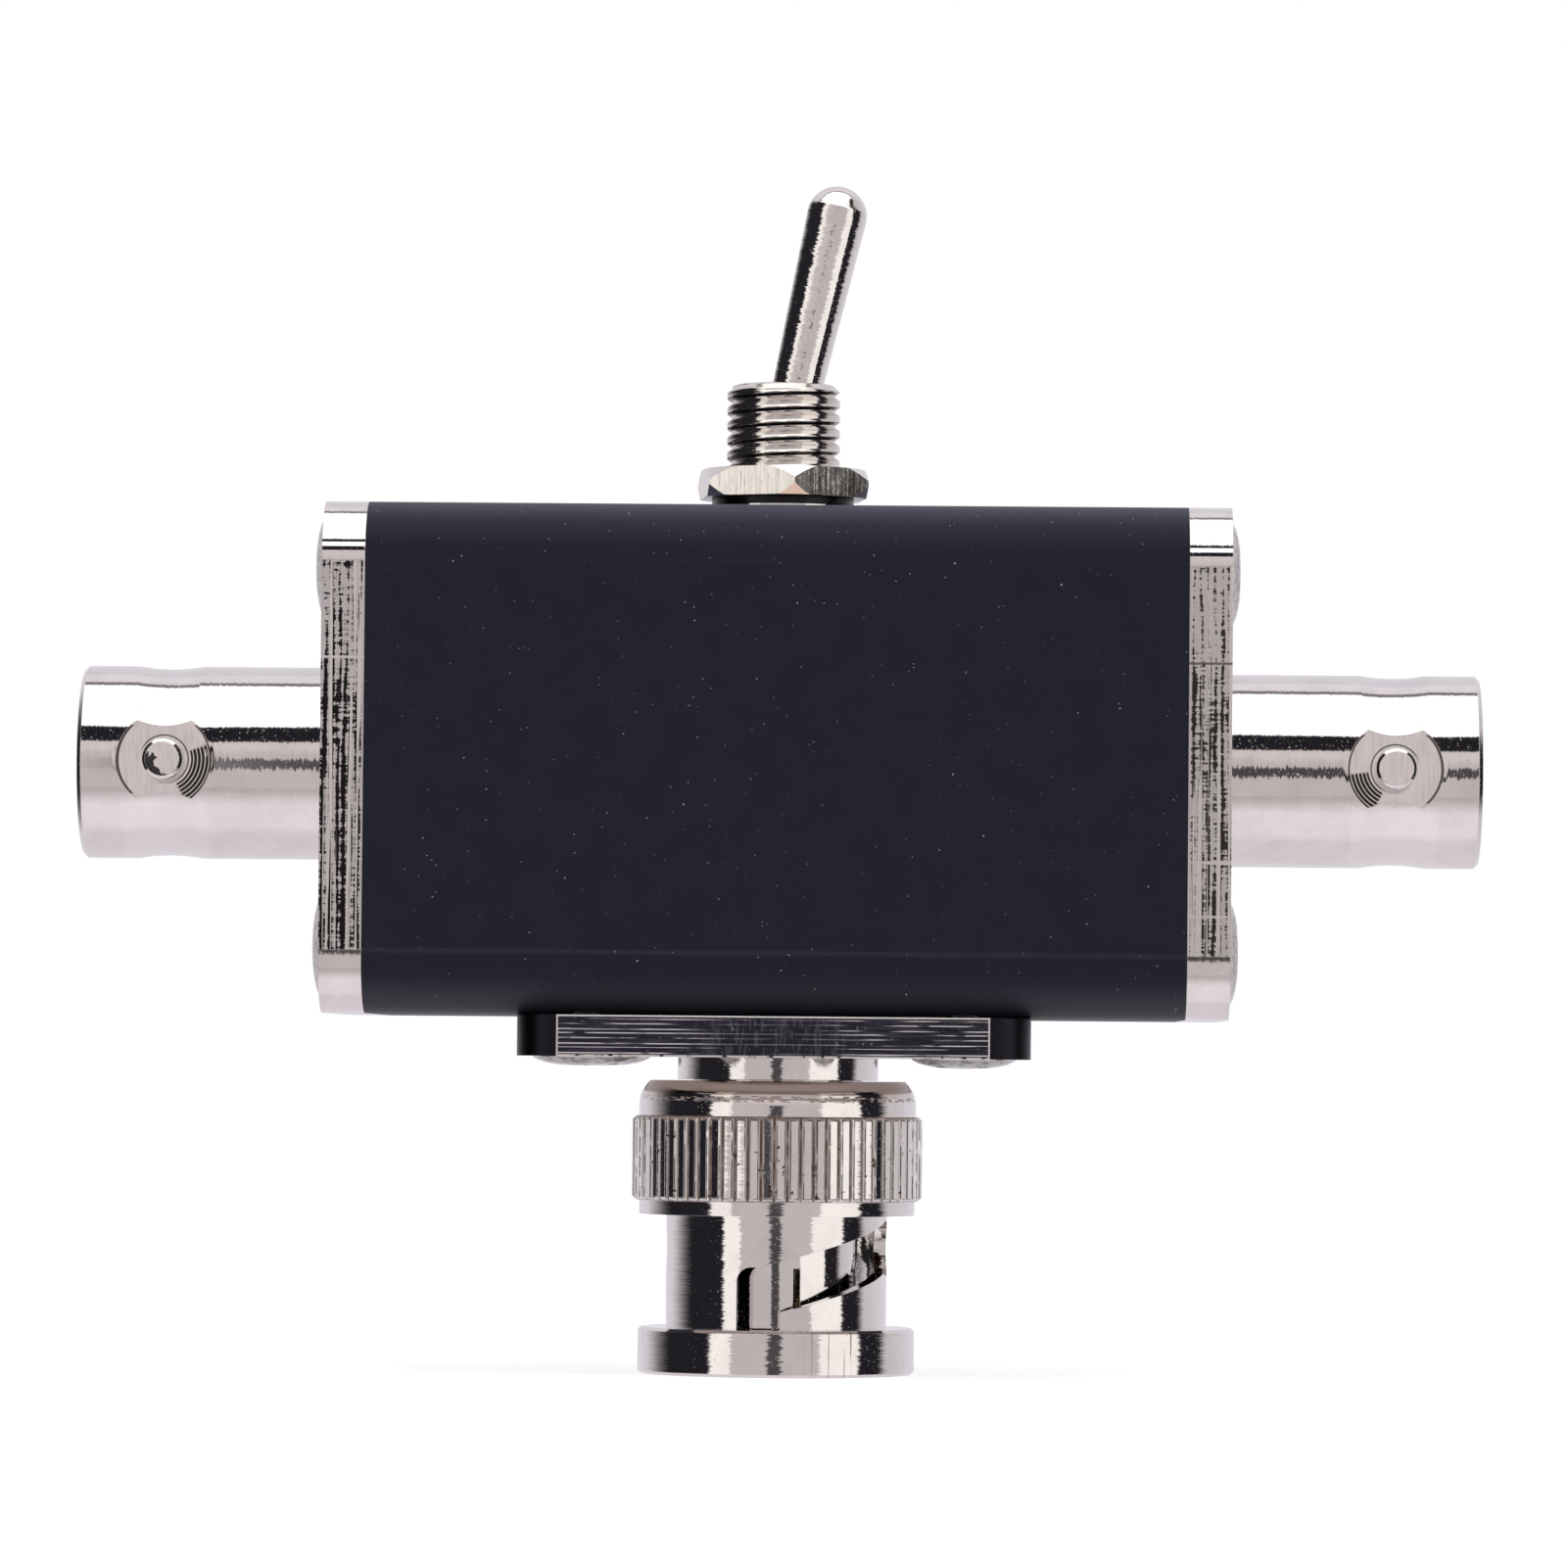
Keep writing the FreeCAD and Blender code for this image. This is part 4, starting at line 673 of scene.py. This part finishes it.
def spot_marks(n, place, normal, finish):
    """Spot face round the lug: turning rings painted dark on the inward side as a painted reflection, painted
    shade in a groove and a painted shadow round the spot face's edge. Returns the mask of its flat faces.
    """
    x, y, _ = n.split(place)
    ny = n.split(normal)[1]
    aside, height, reach = from_lug(n, place)
    facing = n.both(n.ramp(ny, -0.985, -0.998), n.ramp(reach, SPOT_REACH + 0.3, SPOT_REACH + 0.2))
    flat = n.both(facing, n.ramp(y, -SPOT_FACE + 0.8, -SPOT_FACE + 0.7))
    lean(n, finish, n.both(flat, 0.09), UP)
    spot = n.both(flat, n.ramp(y, -SPOT_FACE - 0.1, -SPOT_FACE),
                  n.ramp(reach, LUG_GROOVE + 0.15, LUG_GROOVE + 0.19))
    climb = n.math("MULTIPLY_ADD", n.ramp(x, 1.0, -1.0), -0.45, n.math("DIVIDE", height, reach))
    inward = n.both(n.ramp(n.math("DIVIDE", aside, reach), -0.42, -0.50), n.ramp(climb, -0.08, -0.16))
    # Real turning rings, darkened only on the inward side as painted reflection
    rings = n.ramp(n.math("SINE", n.math("MULTIPLY", reach, FULL_TURN / SPOT_RING_PITCH)), -0.85, -0.55)
    patches = n.joined(n.math("MULTIPLY", reach, 5.0), 0.0, n.math("MULTIPLY", height, 0.6))
    uneven = n.ramp(n.noise(patches), 0.26, 0.32)
    paint_over(n, finish, n.both(spot, inward, rings, uneven), (0.035, 0.03, 0.03))
    # Painted shade in the groove round the lug
    groove = n.both(n.band(reach, LUG_GROOVE, LUG_GROOVE + 0.07, 0.04), n.ramp(y, -LUG_FACE, -LUG_FACE + 0.1),
                    n.ramp(n.math("SUBTRACT", height, aside), -1.0, 0.0))
    paint_over(n, finish, n.both(groove, 0.9), INK)
    # Painted shadow round the spot face's edge
    painted_outline = n.both(n.band(reach, SPOT_REACH - 0.03, SPOT_REACH + 0.08, 0.04), n.ramp(ny, -0.90, -0.93),
                     n.ramp(n.absolute(height), FLAT_HEIGHT, FLAT_HEIGHT - 0.1), n.ramp(y, -3.8, -4.0))
    paint_over(n, finish, n.both(painted_outline, 0.9), (0.06, 0.05, 0.045))
    return flat


def lug_marks(n, place, finish, flat):
    """Top of the lug: a dark reflection on the left one and a dirty rim on both."""
    x, y, _ = n.split(place)
    aside, height, reach = from_lug(n, place)
    lug = n.both(flat, n.ramp(y, -LUG_FACE, -LUG_FACE - 0.1))
    toward = n.math("SUBTRACT", aside, height)
    blotch = n.ramp(n.weighted(0.0, (toward, 0.22), (n.noise(place, 3.0, 3.0), 0.5)), 0.37, 0.40)
    paint_over(n, finish, n.both(lug, blotch, n.ramp(x, 1.0, -1.0)), (0.05, 0.05, 0.055))
    rim = n.band(reach, LUG_RIM, LUG_RIM + 0.06, 0.03)
    dirty = n.ramp(n.noise(place, 2.5, 2.0), 0.42, 0.52)
    paint_over(n, finish, n.both(lug, rim, dirty, 0.8), DIRT)


def plate_marks(n, place, normal, finish):
    """Plug flange: dark milled edges with pale lines along them, a painted highlight along the edges and the
    seam of the rounded corners, and a painted reflection of the shaded floor, dark and brown, on the
    underside.
    """
    x, y, z = n.split(place)
    nx, ny, nz = n.split(normal)
    aside = n.absolute(x)
    far = n.math("MAXIMUM", aside, n.absolute(y))
    edge = n.both(n.ramp(n.absolute(nz), 0.4, 0.2), n.ramp(far, 9.0, 10.0))
    front = n.both(edge, n.ramp(n.absolute(n.math("MULTIPLY", ny, nx)), 0.02, 0.01))
    paint_over(n, finish, edge, (0.020, 0.019, 0.025))
    paint_over(n, finish, front, (0.034, 0.034, 0.050))
    plate_lines(n, place, finish, front, aside)
    # Painted highlight along the top and bottom edges and the seam where the corners' rounding starts; noise
    # breaks the bottom line
    worn = n.ramp(n.stretched(place, 3.0, 3.0, 1.0, 2.0), 0.30, 0.45)
    top_line = n.ramp(z, PLATE_TOP - 0.10, PLATE_TOP - 0.05)
    low_line = n.both(n.ramp(z, PLATE_LOW + 0.12, PLATE_LOW + 0.05), worn)
    round_start = CASE_HIGH.y - PLATE_ROUND
    seam = n.band(aside, round_start - 0.08, round_start, 0.02)
    painted_outline = n.math("MAXIMUM", n.math("MAXIMUM", top_line, low_line), seam)
    paint_over(n, finish, n.both(front, painted_outline), (0.92, 0.90, 0.90))
    finish["roughness"] = n.weighted(0.06, (edge, 0.3))
    # Painted reflection: the underside dark and brown, as if mirroring the shaded floor under the part
    paint_over(n, finish, n.ramp(nz, -0.8, -0.95), (0.42, 0.37, 0.34))


def plate_lines(n, place, finish, front, aside):
    """Lines along the plug flange's edges, strongest at their ends, with strokes across their middle."""
    sides = n.ramp(aside, 2.0, 5.0)
    wander = n.math("MULTIPLY", n.stretched(place, 0.0, 0.0, 2.6), 14.0)
    wave = n.math("SINE", n.math("MULTIPLY_ADD", n.split(place)[2], FULL_TURN / LINE_PITCH, wander))
    lines = n.both(n.ramp(wave, 0.60, 0.90), n.ramp(n.stretched(place, 0.25, 0.25, 5.0), 0.42, 0.52))
    broken = n.ramp(n.stretched(place, 0.9, 0.9, 4.0, 2.0), 0.30, 0.48)
    fine = n.ramp(n.stretched(place, 0.6, 0.6, 20.0, 2.0), 0.50, 0.62)
    strokes = n.ramp(n.stretched(place, 7.0, 7.0, 1.2, 3.0), 0.50, 0.60)
    scrapes = n.ramp(n.stretched(place, 6.0, 6.0, 4.0, 2.0), 0.66, 0.72)
    paint_over(n, finish, n.both(front, fine, sides, 0.45), (0.14, 0.14, 0.17))
    paint_over(n, finish, n.both(front, strokes, n.ramp(aside, 5.0, 2.0), 0.7), (0.11, 0.11, 0.14))
    paint_over(n, finish, n.both(front, scrapes, 0.5), (0.60, 0.58, 0.58))
    paint_over(n, finish, n.both(front, lines, broken, n.weighted(0.2, (sides, 0.8))), (0.95, 0.94, 0.97))


def knurl_marks(n, place, normal, finish):
    """Coupling nut: knurl, shoulder and foot ring. turn counts flutes round the axis."""
    x, y, z = n.split(place)
    radius = n.vector("LENGTH", n.joined(x, y, 0.0))
    turn = n.math("MULTIPLY", n.math("ARCTAN2", y, x), FLUTES / FULL_TURN)
    flute_marks(n, place, normal, finish, radius, turn)
    shoulder_marks(n, place, finish)
    nick_place = n.joined(n.math("MULTIPLY", turn, 3.6), 0.0, n.math("MULTIPLY", z, 0.1))
    ring = n.both(n.ramp(z, RING_TOP + 0.1, RING_TOP), n.ramp(radius, RING_RADIUS - 0.05, RING_RADIUS + 0.05))
    nicks = n.both(ring, n.band(turn, -14.2, -8.0, 1.5), n.ramp(n.noise(nick_place), 0.58, 0.62))
    paint_over(n, finish, n.both(nicks, 0.75), (0.12, 0.11, 0.10))


def flute_marks(n, place, normal, finish, radius, turn):
    """Lands that lean their own way, with painted shade along their corners, and brown dirt deep in the
    flutes.
    """
    z = n.split(place)[2]
    zone = n.both(n.band(z, KNURL_LOW, KNURL_HIGH, 0.05),
                  n.ramp(radius, KNURL_ROOT - 0.03, KNURL_ROOT + 0.03))
    own = n.add("ShaderNodeTexWhiteNoise", {"noise_dimensions": "1D"}, W=n.math("FLOOR", turn))
    land = n.both(zone, n.ramp(radius, KNURL_RADIUS - 0.04, KNURL_RADIUS - 0.01))
    sideways = n.vector("CROSS_PRODUCT", UP, normal)
    lean(n, finish, n.both(land, n.centred(own.outputs["Value"]), 0.26), sideways)
    nearest = n.math("FLOOR", n.math("ADD", turn, 0.5))
    grime_place = n.joined(n.math("MULTIPLY", nearest, 3.7), n.math("MULTIPLY", z, 0.9), 0.0)
    grime = n.noise(grime_place, 1.0, 3.0)
    flute = n.both(zone, n.ramp(radius, KNURL_RADIUS - 0.03, KNURL_RADIUS - 0.09))
    deep = n.ramp(radius, KNURL_RADIUS - 0.10, KNURL_RADIUS - 0.17)
    paint_over(n, finish, n.both(flute, deep, n.ramp(grime, 0.20, 0.60), 0.9), (0.26, 0.20, 0.16))
    # Painted shade along the corners of the lands, left out where the grime noise is high
    corner = n.both(zone, n.band(radius, KNURL_RADIUS - 0.055, KNURL_RADIUS - 0.015, 0.01))
    paint_over(n, finish, n.both(corner, n.ramp(grime, 0.62, 0.48)), (0.05, 0.04, 0.035))
    paint_over(n, finish, n.both(zone, n.ramp(n.noise(place, 3.0, 1.0), 0.70, 0.76)), DIRT)
    finish["roughness"] = n.weighted(0.06, (flute, 0.15))


def shoulder_marks(n, place, finish):
    """A rounded shoulder with a worn, warmer top and chips along its edge."""
    z = n.split(place)[2]
    top = n.ramp(z, SHOULDER_EDGE - 0.1, SHOULDER_EDGE + 0.1)
    fall = n.math("MINIMUM", n.math("MULTIPLY_ADD", z, 0.75, -0.75 * SHOULDER_ROUND), 0.0)
    lean(n, finish, n.both(top, fall), UP)
    paint_over(n, finish, n.both(top, 0.7), (0.60, 0.53, 0.48))
    chips = n.both(n.band(z, SHOULDER_EDGE - 0.22, SHOULDER_EDGE + 0.05, 0.1),
                   n.ramp(n.stretched(place, 3.0, 3.0, 9.0, 2.0), 0.50, 0.56))
    lean(n, finish, n.both(chips, 0.35), UP)


def screw_marks(n, place, normal, finish):
    """Screws: crowns painted dark as a reflection of the dark part of the room beside and below the case, and
    painted shade on the shanks in the gap over the plug flange.
    """
    z = n.split(place)[2]
    nx, _, nz = n.split(normal)
    crown = n.math("MAXIMUM", n.absolute(nx), n.ramp(nz, 0.0, -1.0))
    streaks = n.weighted(0.55, (n.ramp(n.noise(place, 3.0, 3.0), 0.42, 0.58), 0.35))
    paint_over(n, finish, n.both(n.ramp(crown, 0.84, 0.97), streaks), (0.13, 0.12, 0.11))
    # Painted shade: the shanks black where they show in the gap between the plug flange and the case
    paint_over(n, finish, n.band(z, PLATE_TOP - 0.1, PLATE_TOP + 0.5, 0.02), INK)


def hex_marks(n, place, normal, finish):
    """Hex nut: upright drawing lines, painted shade on the flats to the right and a painted highlight in a
    peach tint on the lower chamfer in the middle.
    """
    nx, ny, nz = n.split(normal)
    flat = n.ramp(n.absolute(nz), 0.25, 0.10)
    right_flat_shade = n.ramp(nx, 0.3, 0.5)
    lines = n.stretched(place, 8.0, 8.0, 0.3, 3.0, 0.7)
    deep = n.ramp(n.stretched(place, 11.0, 11.0, 2.0, 3.0), 0.60, 0.66)
    hatch = n.ramp(n.stretched(place, 9.0, 9.0, 6.0, 2.0), 0.52, 0.60)
    paint_over(n, finish, flat, n.mix(n.ramp(lines, 0.35, 0.6), (0.62, 0.59, 0.55), (0.80, 0.765, 0.735)))
    paint_over(n, finish, n.both(flat, deep, 0.4), (0.22, 0.20, 0.19))
    # Painted shade on the flats turned to the right, with pale drawing lines over it
    paint_over(n, finish, n.both(flat, right_flat_shade, 0.68), (0.085, 0.08, 0.075))
    paint_over(n, finish, n.both(flat, right_flat_shade, hatch, 0.55), (0.80, 0.77, 0.73))
    # Painted highlight: a peach glint on the lower chamfer that faces the front
    warm_glint = n.both(n.ramp(nz, -0.15, -0.30), n.band(nx, -0.14, 0.42, 0.04), n.ramp(ny, 0.0, -0.2))
    paint_over(n, finish, warm_glint, (0.96, 0.76, 0.62))
    lean(n, finish, n.both(warm_glint, 0.62), UP)
    lean(n, finish, n.both(n.centred(lines), flat, 0.22), n.vector("CROSS_PRODUCT", UP, normal))


def lever_axis():
    """The direction in which the lever stands, leaning to the right."""
    lean_angle = math.radians(LEVER_LEAN)
    return math.sin(lean_angle), 0.0, math.cos(lean_angle)


def lever_marks(n, place, normal, finish):
    """Lever: a dome that meets the bat at a faint corner, a dark line on the right and a pale left side."""
    nx = n.split(normal)[0]
    along = n.vector("DOT_PRODUCT", normal, lever_axis())
    bat = n.both(n.band(along, 0.0, DOME_CORNER, 0.02), n.math("MULTIPLY", along, -1.0))
    dome = n.both(n.band(along, DOME_CORNER, 0.50, 0.03), n.weighted(0.45, (along, -0.8)))
    dark_line = n.both(n.band(nx, 0.54, 0.72, 0.04), n.weighted(0.684, (nx, -0.95)))
    left_side = n.both(n.ramp(nx, -0.68, -0.80), 0.26)
    spotty = n.both(n.ramp(n.noise(place, 5.0, 1.0), 0.62, 0.50), n.ramp(along, 0.03, 0.01), 0.05)
    lean(n, finish, bat, lever_axis())
    lean(n, finish, dome, lever_axis())
    lean(n, finish, dark_line, RIGHT)
    lean(n, finish, left_side, FRONT)
    lean(n, finish, spotty, UP)


def thread_marks(n, place, normal, finish):
    """Threaded bushing: each turn has a pale upper flank, a bright worn crest and painted shade on the lower
    flank.
    """
    x, y, z = n.split(place)
    nx, _, nz = n.split(normal)
    radius = n.vector("LENGTH", n.joined(x, y, 0.0))
    end = BUSHING_HIGH.z - END_CHAMFER
    screwed = n.both(n.ramp(radius, 2.4, 2.5), n.ramp(z, end, end - END_ROUND))
    turn = n.math("MULTIPLY", n.math("ARCTAN2", y, x), -1 / FULL_TURN)
    phase = n.math("FRACT", n.math("MULTIPLY_ADD", z, 1 / THREAD_PITCH, turn))
    uneven = n.ramp(n.noise(place, 2.0, 3.0), 0.20, 0.55)
    upper = n.both(screwed, n.ramp(nz, 0.3, 0.5))
    crest = n.both(screwed, n.band(phase, LOWER_END, CREST_END, 0.04))
    lower = n.both(screwed, n.band(phase, ROOT_END, LOWER_END, 0.04))
    root = n.both(screwed, n.ramp(phase, ROOT_END, ROOT_END - 0.04))
    for mask, amount in ((upper, -0.74), (crest, 0.50), (root, 0.80)):
        lean(n, finish, n.both(mask, amount), UP)
    lean(n, finish, n.both(n.ramp(nx, -0.55, -0.75), screwed, 0.22), FRONT)
    # Painted shade on the lower flank, which faces down
    paint_over(n, finish, n.both(lower, n.weighted(0.7, (uneven, 0.3))), (0.060, 0.048, 0.040))
    paint_over(n, finish, n.both(upper, uneven, 0.35), (0.40, 0.34, 0.28))


def mesh_of(name, vertices, faces):
    mesh = bpy.data.meshes.new(name)
    mesh.from_pydata([Vector(vertex) * MM for vertex in vertices], [], faces)
    mesh.validate()
    mesh.shade_smooth()
    return mesh


def linked(name, mesh):
    piece = bpy.data.objects.new(name, mesh)
    bpy.context.scene.collection.objects.link(piece)
    return piece


def lathe(name, rows, segments, place_at=None):
    """A mesh of rings. Each row is a radius and a height in mm, and place_at may change them by angle."""
    vertices, faces = [], []
    for row in rows:
        for step in range(segments):
            angle = FULL_TURN * step / segments
            radius, height = place_at(row, angle) if place_at else row
            vertices.append((radius * math.cos(angle), radius * math.sin(angle), height))
    for row in range(len(rows) - 1):
        for step in range(segments):
            after = (step + 1) % segments
            here, above = row * segments, (row + 1) * segments
            faces.append((here + step, here + after, above + after, above + step))
    return mesh_of(name, vertices, faces)


def settle(piece, body, node, angle=35.0):
    """Puts a piece on a body in place of a CAD node, with edges sharper than an angle kept crisp."""
    piece.data.set_sharp_from_angle(angle=math.radians(angle))
    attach(piece, body)
    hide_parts(node)


def thread_reach(angle, height):
    """How far from the axis the bushing's thread stands, with the end's chamfer and the keyway behind."""
    outside, top = BUSHING_HIGH.x, BUSHING_HIGH.z
    phase = (height / THREAD_PITCH - angle / FULL_TURN) % 1.0
    flank = max(0.0, (abs(2 * phase - 1) - THREAD_CREST) / (1 - THREAD_CREST))
    reach = outside - THREAD_DEPTH * flank
    reach = min(reach, outside - END_CHAMFER + END_LIP + top - height)
    behind = math.sin(angle) > 0
    if behind and abs(reach * math.cos(angle)) < KEYWAY_WIDTH / 2:
        reach = min(reach, (outside - KEYWAY_DEPTH) / math.sin(angle))
    return reach


def build_thread():
    """The toggle's bushing with its real thread and the keyway behind."""
    outside, top, bottom = BUSHING_HIGH.x, BUSHING_HIGH.z, BUSHING_LOW.z
    thread_low = CASE_HIGH.z - THREAD_IN_CASE
    rows = [(BUSHING_TAIL, bottom), (BUSHING_SPIGOT, bottom), (BUSHING_SPIGOT, thread_low),
            (outside, thread_low)]
    height = thread_low
    while height < top - END_LIP:
        rows.append((outside, height))
        height += THREAD_PITCH / THREAD_STEPS
    rows += [(outside - END_CHAMFER, top - END_LIP), (outside - END_CHAMFER - END_ROUND, top),
             (BUSHING_MOUTH + 0.05, top), (BUSHING_MOUTH, top - 0.04), (BUSHING_BORE, top - MOUTH_DEPTH),
             (BUSHING_BORE, top - BORE_DEPTH)]

    def threaded(row, angle):
        radius, height = row
        return row if radius < outside else (thread_reach(angle, height), height)

    piece = linked("bushing_thread", lathe("bushing_thread", rows, THREAD_SEGMENTS, threaded))
    settle(piece, "housing", "toggle_bushing", angle=45.0)


def build_hex_nut():
    """The toggle's hex nut with crisp corners and turned chamfers."""
    low, high = box_in_mm("hex_nut")
    bottom, top = low.z, high.z
    bore = BUSHING_HIGH.x + 0.02

    def placed(row, angle):
        kind = row[0]
        reach = HEX_FLAT / math.cos(math.radians(math.degrees(angle) % 60 - 30))
        spots = {
            "rim_low": (min(reach, HEX_BOTTOM), bottom),
            "side_low": (reach, bottom + max(0.0, reach - HEX_BOTTOM) * HEX_BOTTOM_SLOPE),
            "side_high": (reach, top - max(0.0, reach - HEX_TOP) * HEX_TOP_SLOPE),
            "rim_high": (min(reach, HEX_TOP), top),
        }
        return spots.get(kind, row)

    rows = [(bore, bottom), ("rim_low", bottom), ("side_low", bottom), ("side_high", top), ("rim_high", top),
            (bore + HEX_COUNTERSINK, top), (bore, top - HEX_COUNTERSINK), (bore, bottom)]
    mesh = lathe("hex_nut_crisp", rows, 6 * HEX_STEPS, placed)
    mesh.transform(Matrix.Rotation(math.radians(HEX_TURN - 90), 4, "Z"))
    settle(linked("hex_nut_crisp", mesh), "housing", "hex_nut", angle=20.0)


def build_spring():
    """The wave spring as in the solid, as a piece with a mesh of its own."""
    piece = linked("wave_spring_flat", bpy.data.objects["wave_spring"].data.copy())
    settle(piece, "housing", "wave_spring")
    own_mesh(piece)


def wedge(name, turn):
    """A tapered blade, one arm pair of the cross recess."""
    top = (RECESS_REACH * BLADE_FLARE, RECESS_WIDTH * 0.55, SCREW_DOME + BLADE_OVER)
    tip = (RECESS_TIP, RECESS_WIDTH / 2.6, SCREW_DOME - RECESS_DEPTH)
    vertices = []
    for reach, half, height in (top, tip):
        vertices += [(-reach, -half, height), (reach, -half, height), (reach, half, height),
                     (-reach, half, height)]
    faces = [(0, 1, 2, 3), (7, 6, 5, 4), (0, 4, 5, 1), (1, 5, 6, 2), (2, 6, 7, 3), (3, 7, 4, 0)]
    mesh = mesh_of(name, vertices, faces)
    mesh.transform(Matrix.Rotation(math.radians(turn), 4, "Z"))
    mesh.flip_normals()
    return linked(name, mesh)


def screw_mesh(length):
    """One raised countersunk screw with its head's face at height 0 and a cross recess cut in."""
    tip = -length
    neck = SCREW_SHANK - SCREW_HEAD - 0.05
    shank = [(0.02, tip), (SCREW_SHANK, tip), (SCREW_SHANK, neck)]
    rim = [(SCREW_HEAD - 0.02, -0.04), (SCREW_HEAD, 0.0), (SCREW_HEAD - 0.02, 0.05)]
    dome = [(2.2, 0.22), (1.8, 0.33), (1.3, 0.41), (0.7, SCREW_DOME - 0.01), (0.02, SCREW_DOME)]
    piece = linked("screw_blank", lathe("screw_blank", shank + rim + dome, SCREW_SEGMENTS))
    blades = [wedge("blade_long", 0.0), wedge("blade_cross", 90.0)]
    for blade in blades:
        cut = piece.modifiers.new(blade.name, "BOOLEAN")
        cut.object = blade
        cut.solver = "EXACT"
    made = piece.evaluated_get(bpy.context.evaluated_depsgraph_get())
    mesh = bpy.data.meshes.new_from_object(made)
    for item in (piece, *blades):
        bpy.data.objects.remove(item)
    return mesh


def build_screws(node, name, outward, turns):
    """The four screws of one flange. outward is where the heads face, turns the angles of their recesses."""
    low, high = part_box(node)
    centre = (low + high) / 2
    size = high - low
    face = Vector(outward)
    upright = face.to_track_quat("Z", "Y").to_matrix().to_4x4()
    first, second = [axis for axis in (Vector((1, 0, 0)), Vector((0, 1, 0)), Vector((0, 0, 1)))
                     if abs(axis.dot(face)) < 0.5]
    length = abs(size.dot(face)) / MM - SCREW_DOME
    offset = (size.dot(first) / 2) / MM - SCREW_HEAD
    seat = centre + face * (abs(size.dot(face)) / 2 - SCREW_DOME * MM)
    model = screw_mesh(length)
    vertices, faces = [], []
    for turn, (one, two) in zip(turns, ((1, 1), (-1, 1), (-1, -1), (1, -1))):
        start = len(vertices)
        spot = seat + (first * one + second * two) * offset * MM
        place = Matrix.Translation(spot) @ upright @ Matrix.Rotation(math.radians(turn), 4, "Z")
        vertices += [(place @ vertex.co) / MM for vertex in model.vertices]
        faces += [[start + index for index in polygon.vertices] for polygon in model.polygons]
    piece = linked(name, mesh_of(name, vertices, faces))
    settle(piece, "housing", node, angle=40.0)


def paint_outside():
    """Finishes of the pieces that show from outside."""
    give(anodised(), "housing_tube")
    give(nickel("nickel_jack", RIGHT, waver=0.014, lines=12.0, pits=0.5, extra=jack_marks), "left_jack_shell",
         "right_jack_shell")
    give(nickel("nickel_turned", UP, waver=0.02), "plug_outer_contact", "keyed_washer")
    give(nickel("nickel_knurl", UP, waver=0.034, lines=13.0, edge=FINE_EDGE, extra=knurl_marks),
         "coupling_nut")
    give(nickel("nickel_plate", UP, waver=0.03, lines=13.0, extra=plate_marks), "plug_body")
    give(nickel("nickel_screws", UP, roughness=0.15, waver=0.06, extra=screw_marks), "left_screw_set",
         "right_screw_set", "plug_screw_set")
    give(nickel("nickel_lever", lever_axis(), roughness=0.1, waver=0.12, lines=12.0, extra=lever_marks),
         "toggle_lever")
    give(nickel("nickel_thread", UP, colour=(0.72, 0.68, 0.65), roughness=0.12, waver=0.03, edge=FINE_EDGE,
                extra=thread_marks), "bushing_thread")
    give(nickel("nickel_hex", UP, roughness=0.17, waver=0.0, pits=0.1, edge=FINE_EDGE, extra=hex_marks),
         "hex_nut_crisp")
    # Painted shade: the lock washer near black, as if in the shade between the nut and the keyed washer
    give(grained("steel_dark", (0.03, 0.03, 0.03), 0.3), "lock_washer")


def paint_inside():
    """Finishes of the pieces inside the case, the plug and the jacks."""
    give(grained("steel_washers", (0.40, 0.38, 0.37), 0.25), "inner_washer", "switch_frame",
         "lever_pivot_pin", "rear_thrust_washer", "front_thrust_washer", "wave_spring_flat")
    give(plain("ptfe", (0.78, 0.78, 0.76), 0.4, Subsurface_Weight=0.1), "left_jack_insulator",
         "right_jack_insulator", "plug_insulator")
    give(nickel("gold", RIGHT, colour=(0.86, 0.62, 0.27), roughness=0.15), "left_jack_contact",
         "right_jack_contact", "plug_centre_pin")
    give(plain("terminal_silver", (0.7, 0.68, 0.62), 0.25, Metallic=1.0), "common_terminal", "left_terminal",
         "right_terminal", "rocker_contact")
    give(plain("case_blue", (0.04, 0.12, 0.32), 0.4), "switch_case")
    give(plain("nylon", (0.75, 0.73, 0.65), 0.4), "lever_plunger")
    give(plain("gasket_red", (0.14, 0.03, 0.025), 0.5), "plug_gasket")
    give(plain("wire_red", (0.5, 0.03, 0.03), 0.35), "left_wire")
    give(plain("wire_white", (0.75, 0.75, 0.72), 0.35), "right_wire")
    give(plain("wire_black", (0.02, 0.02, 0.02), 0.35), "common_wire")


build_world()
build_floor()
build_light()
build_camera()
build_thread()
build_hex_nut()
build_spring()
build_screws("left_flange_screws", "left_screw_set", LEFT, (12, 57, 33, 80))
build_screws("right_flange_screws", "right_screw_set", RIGHT, (71, 26, 48, 5))
build_screws("plug_flange_screws", "plug_screw_set", DOWN, (38, 64, 15, 50))
paint_outside()
paint_inside()
bpy.context.scene.view_settings.view_transform = "Standard"
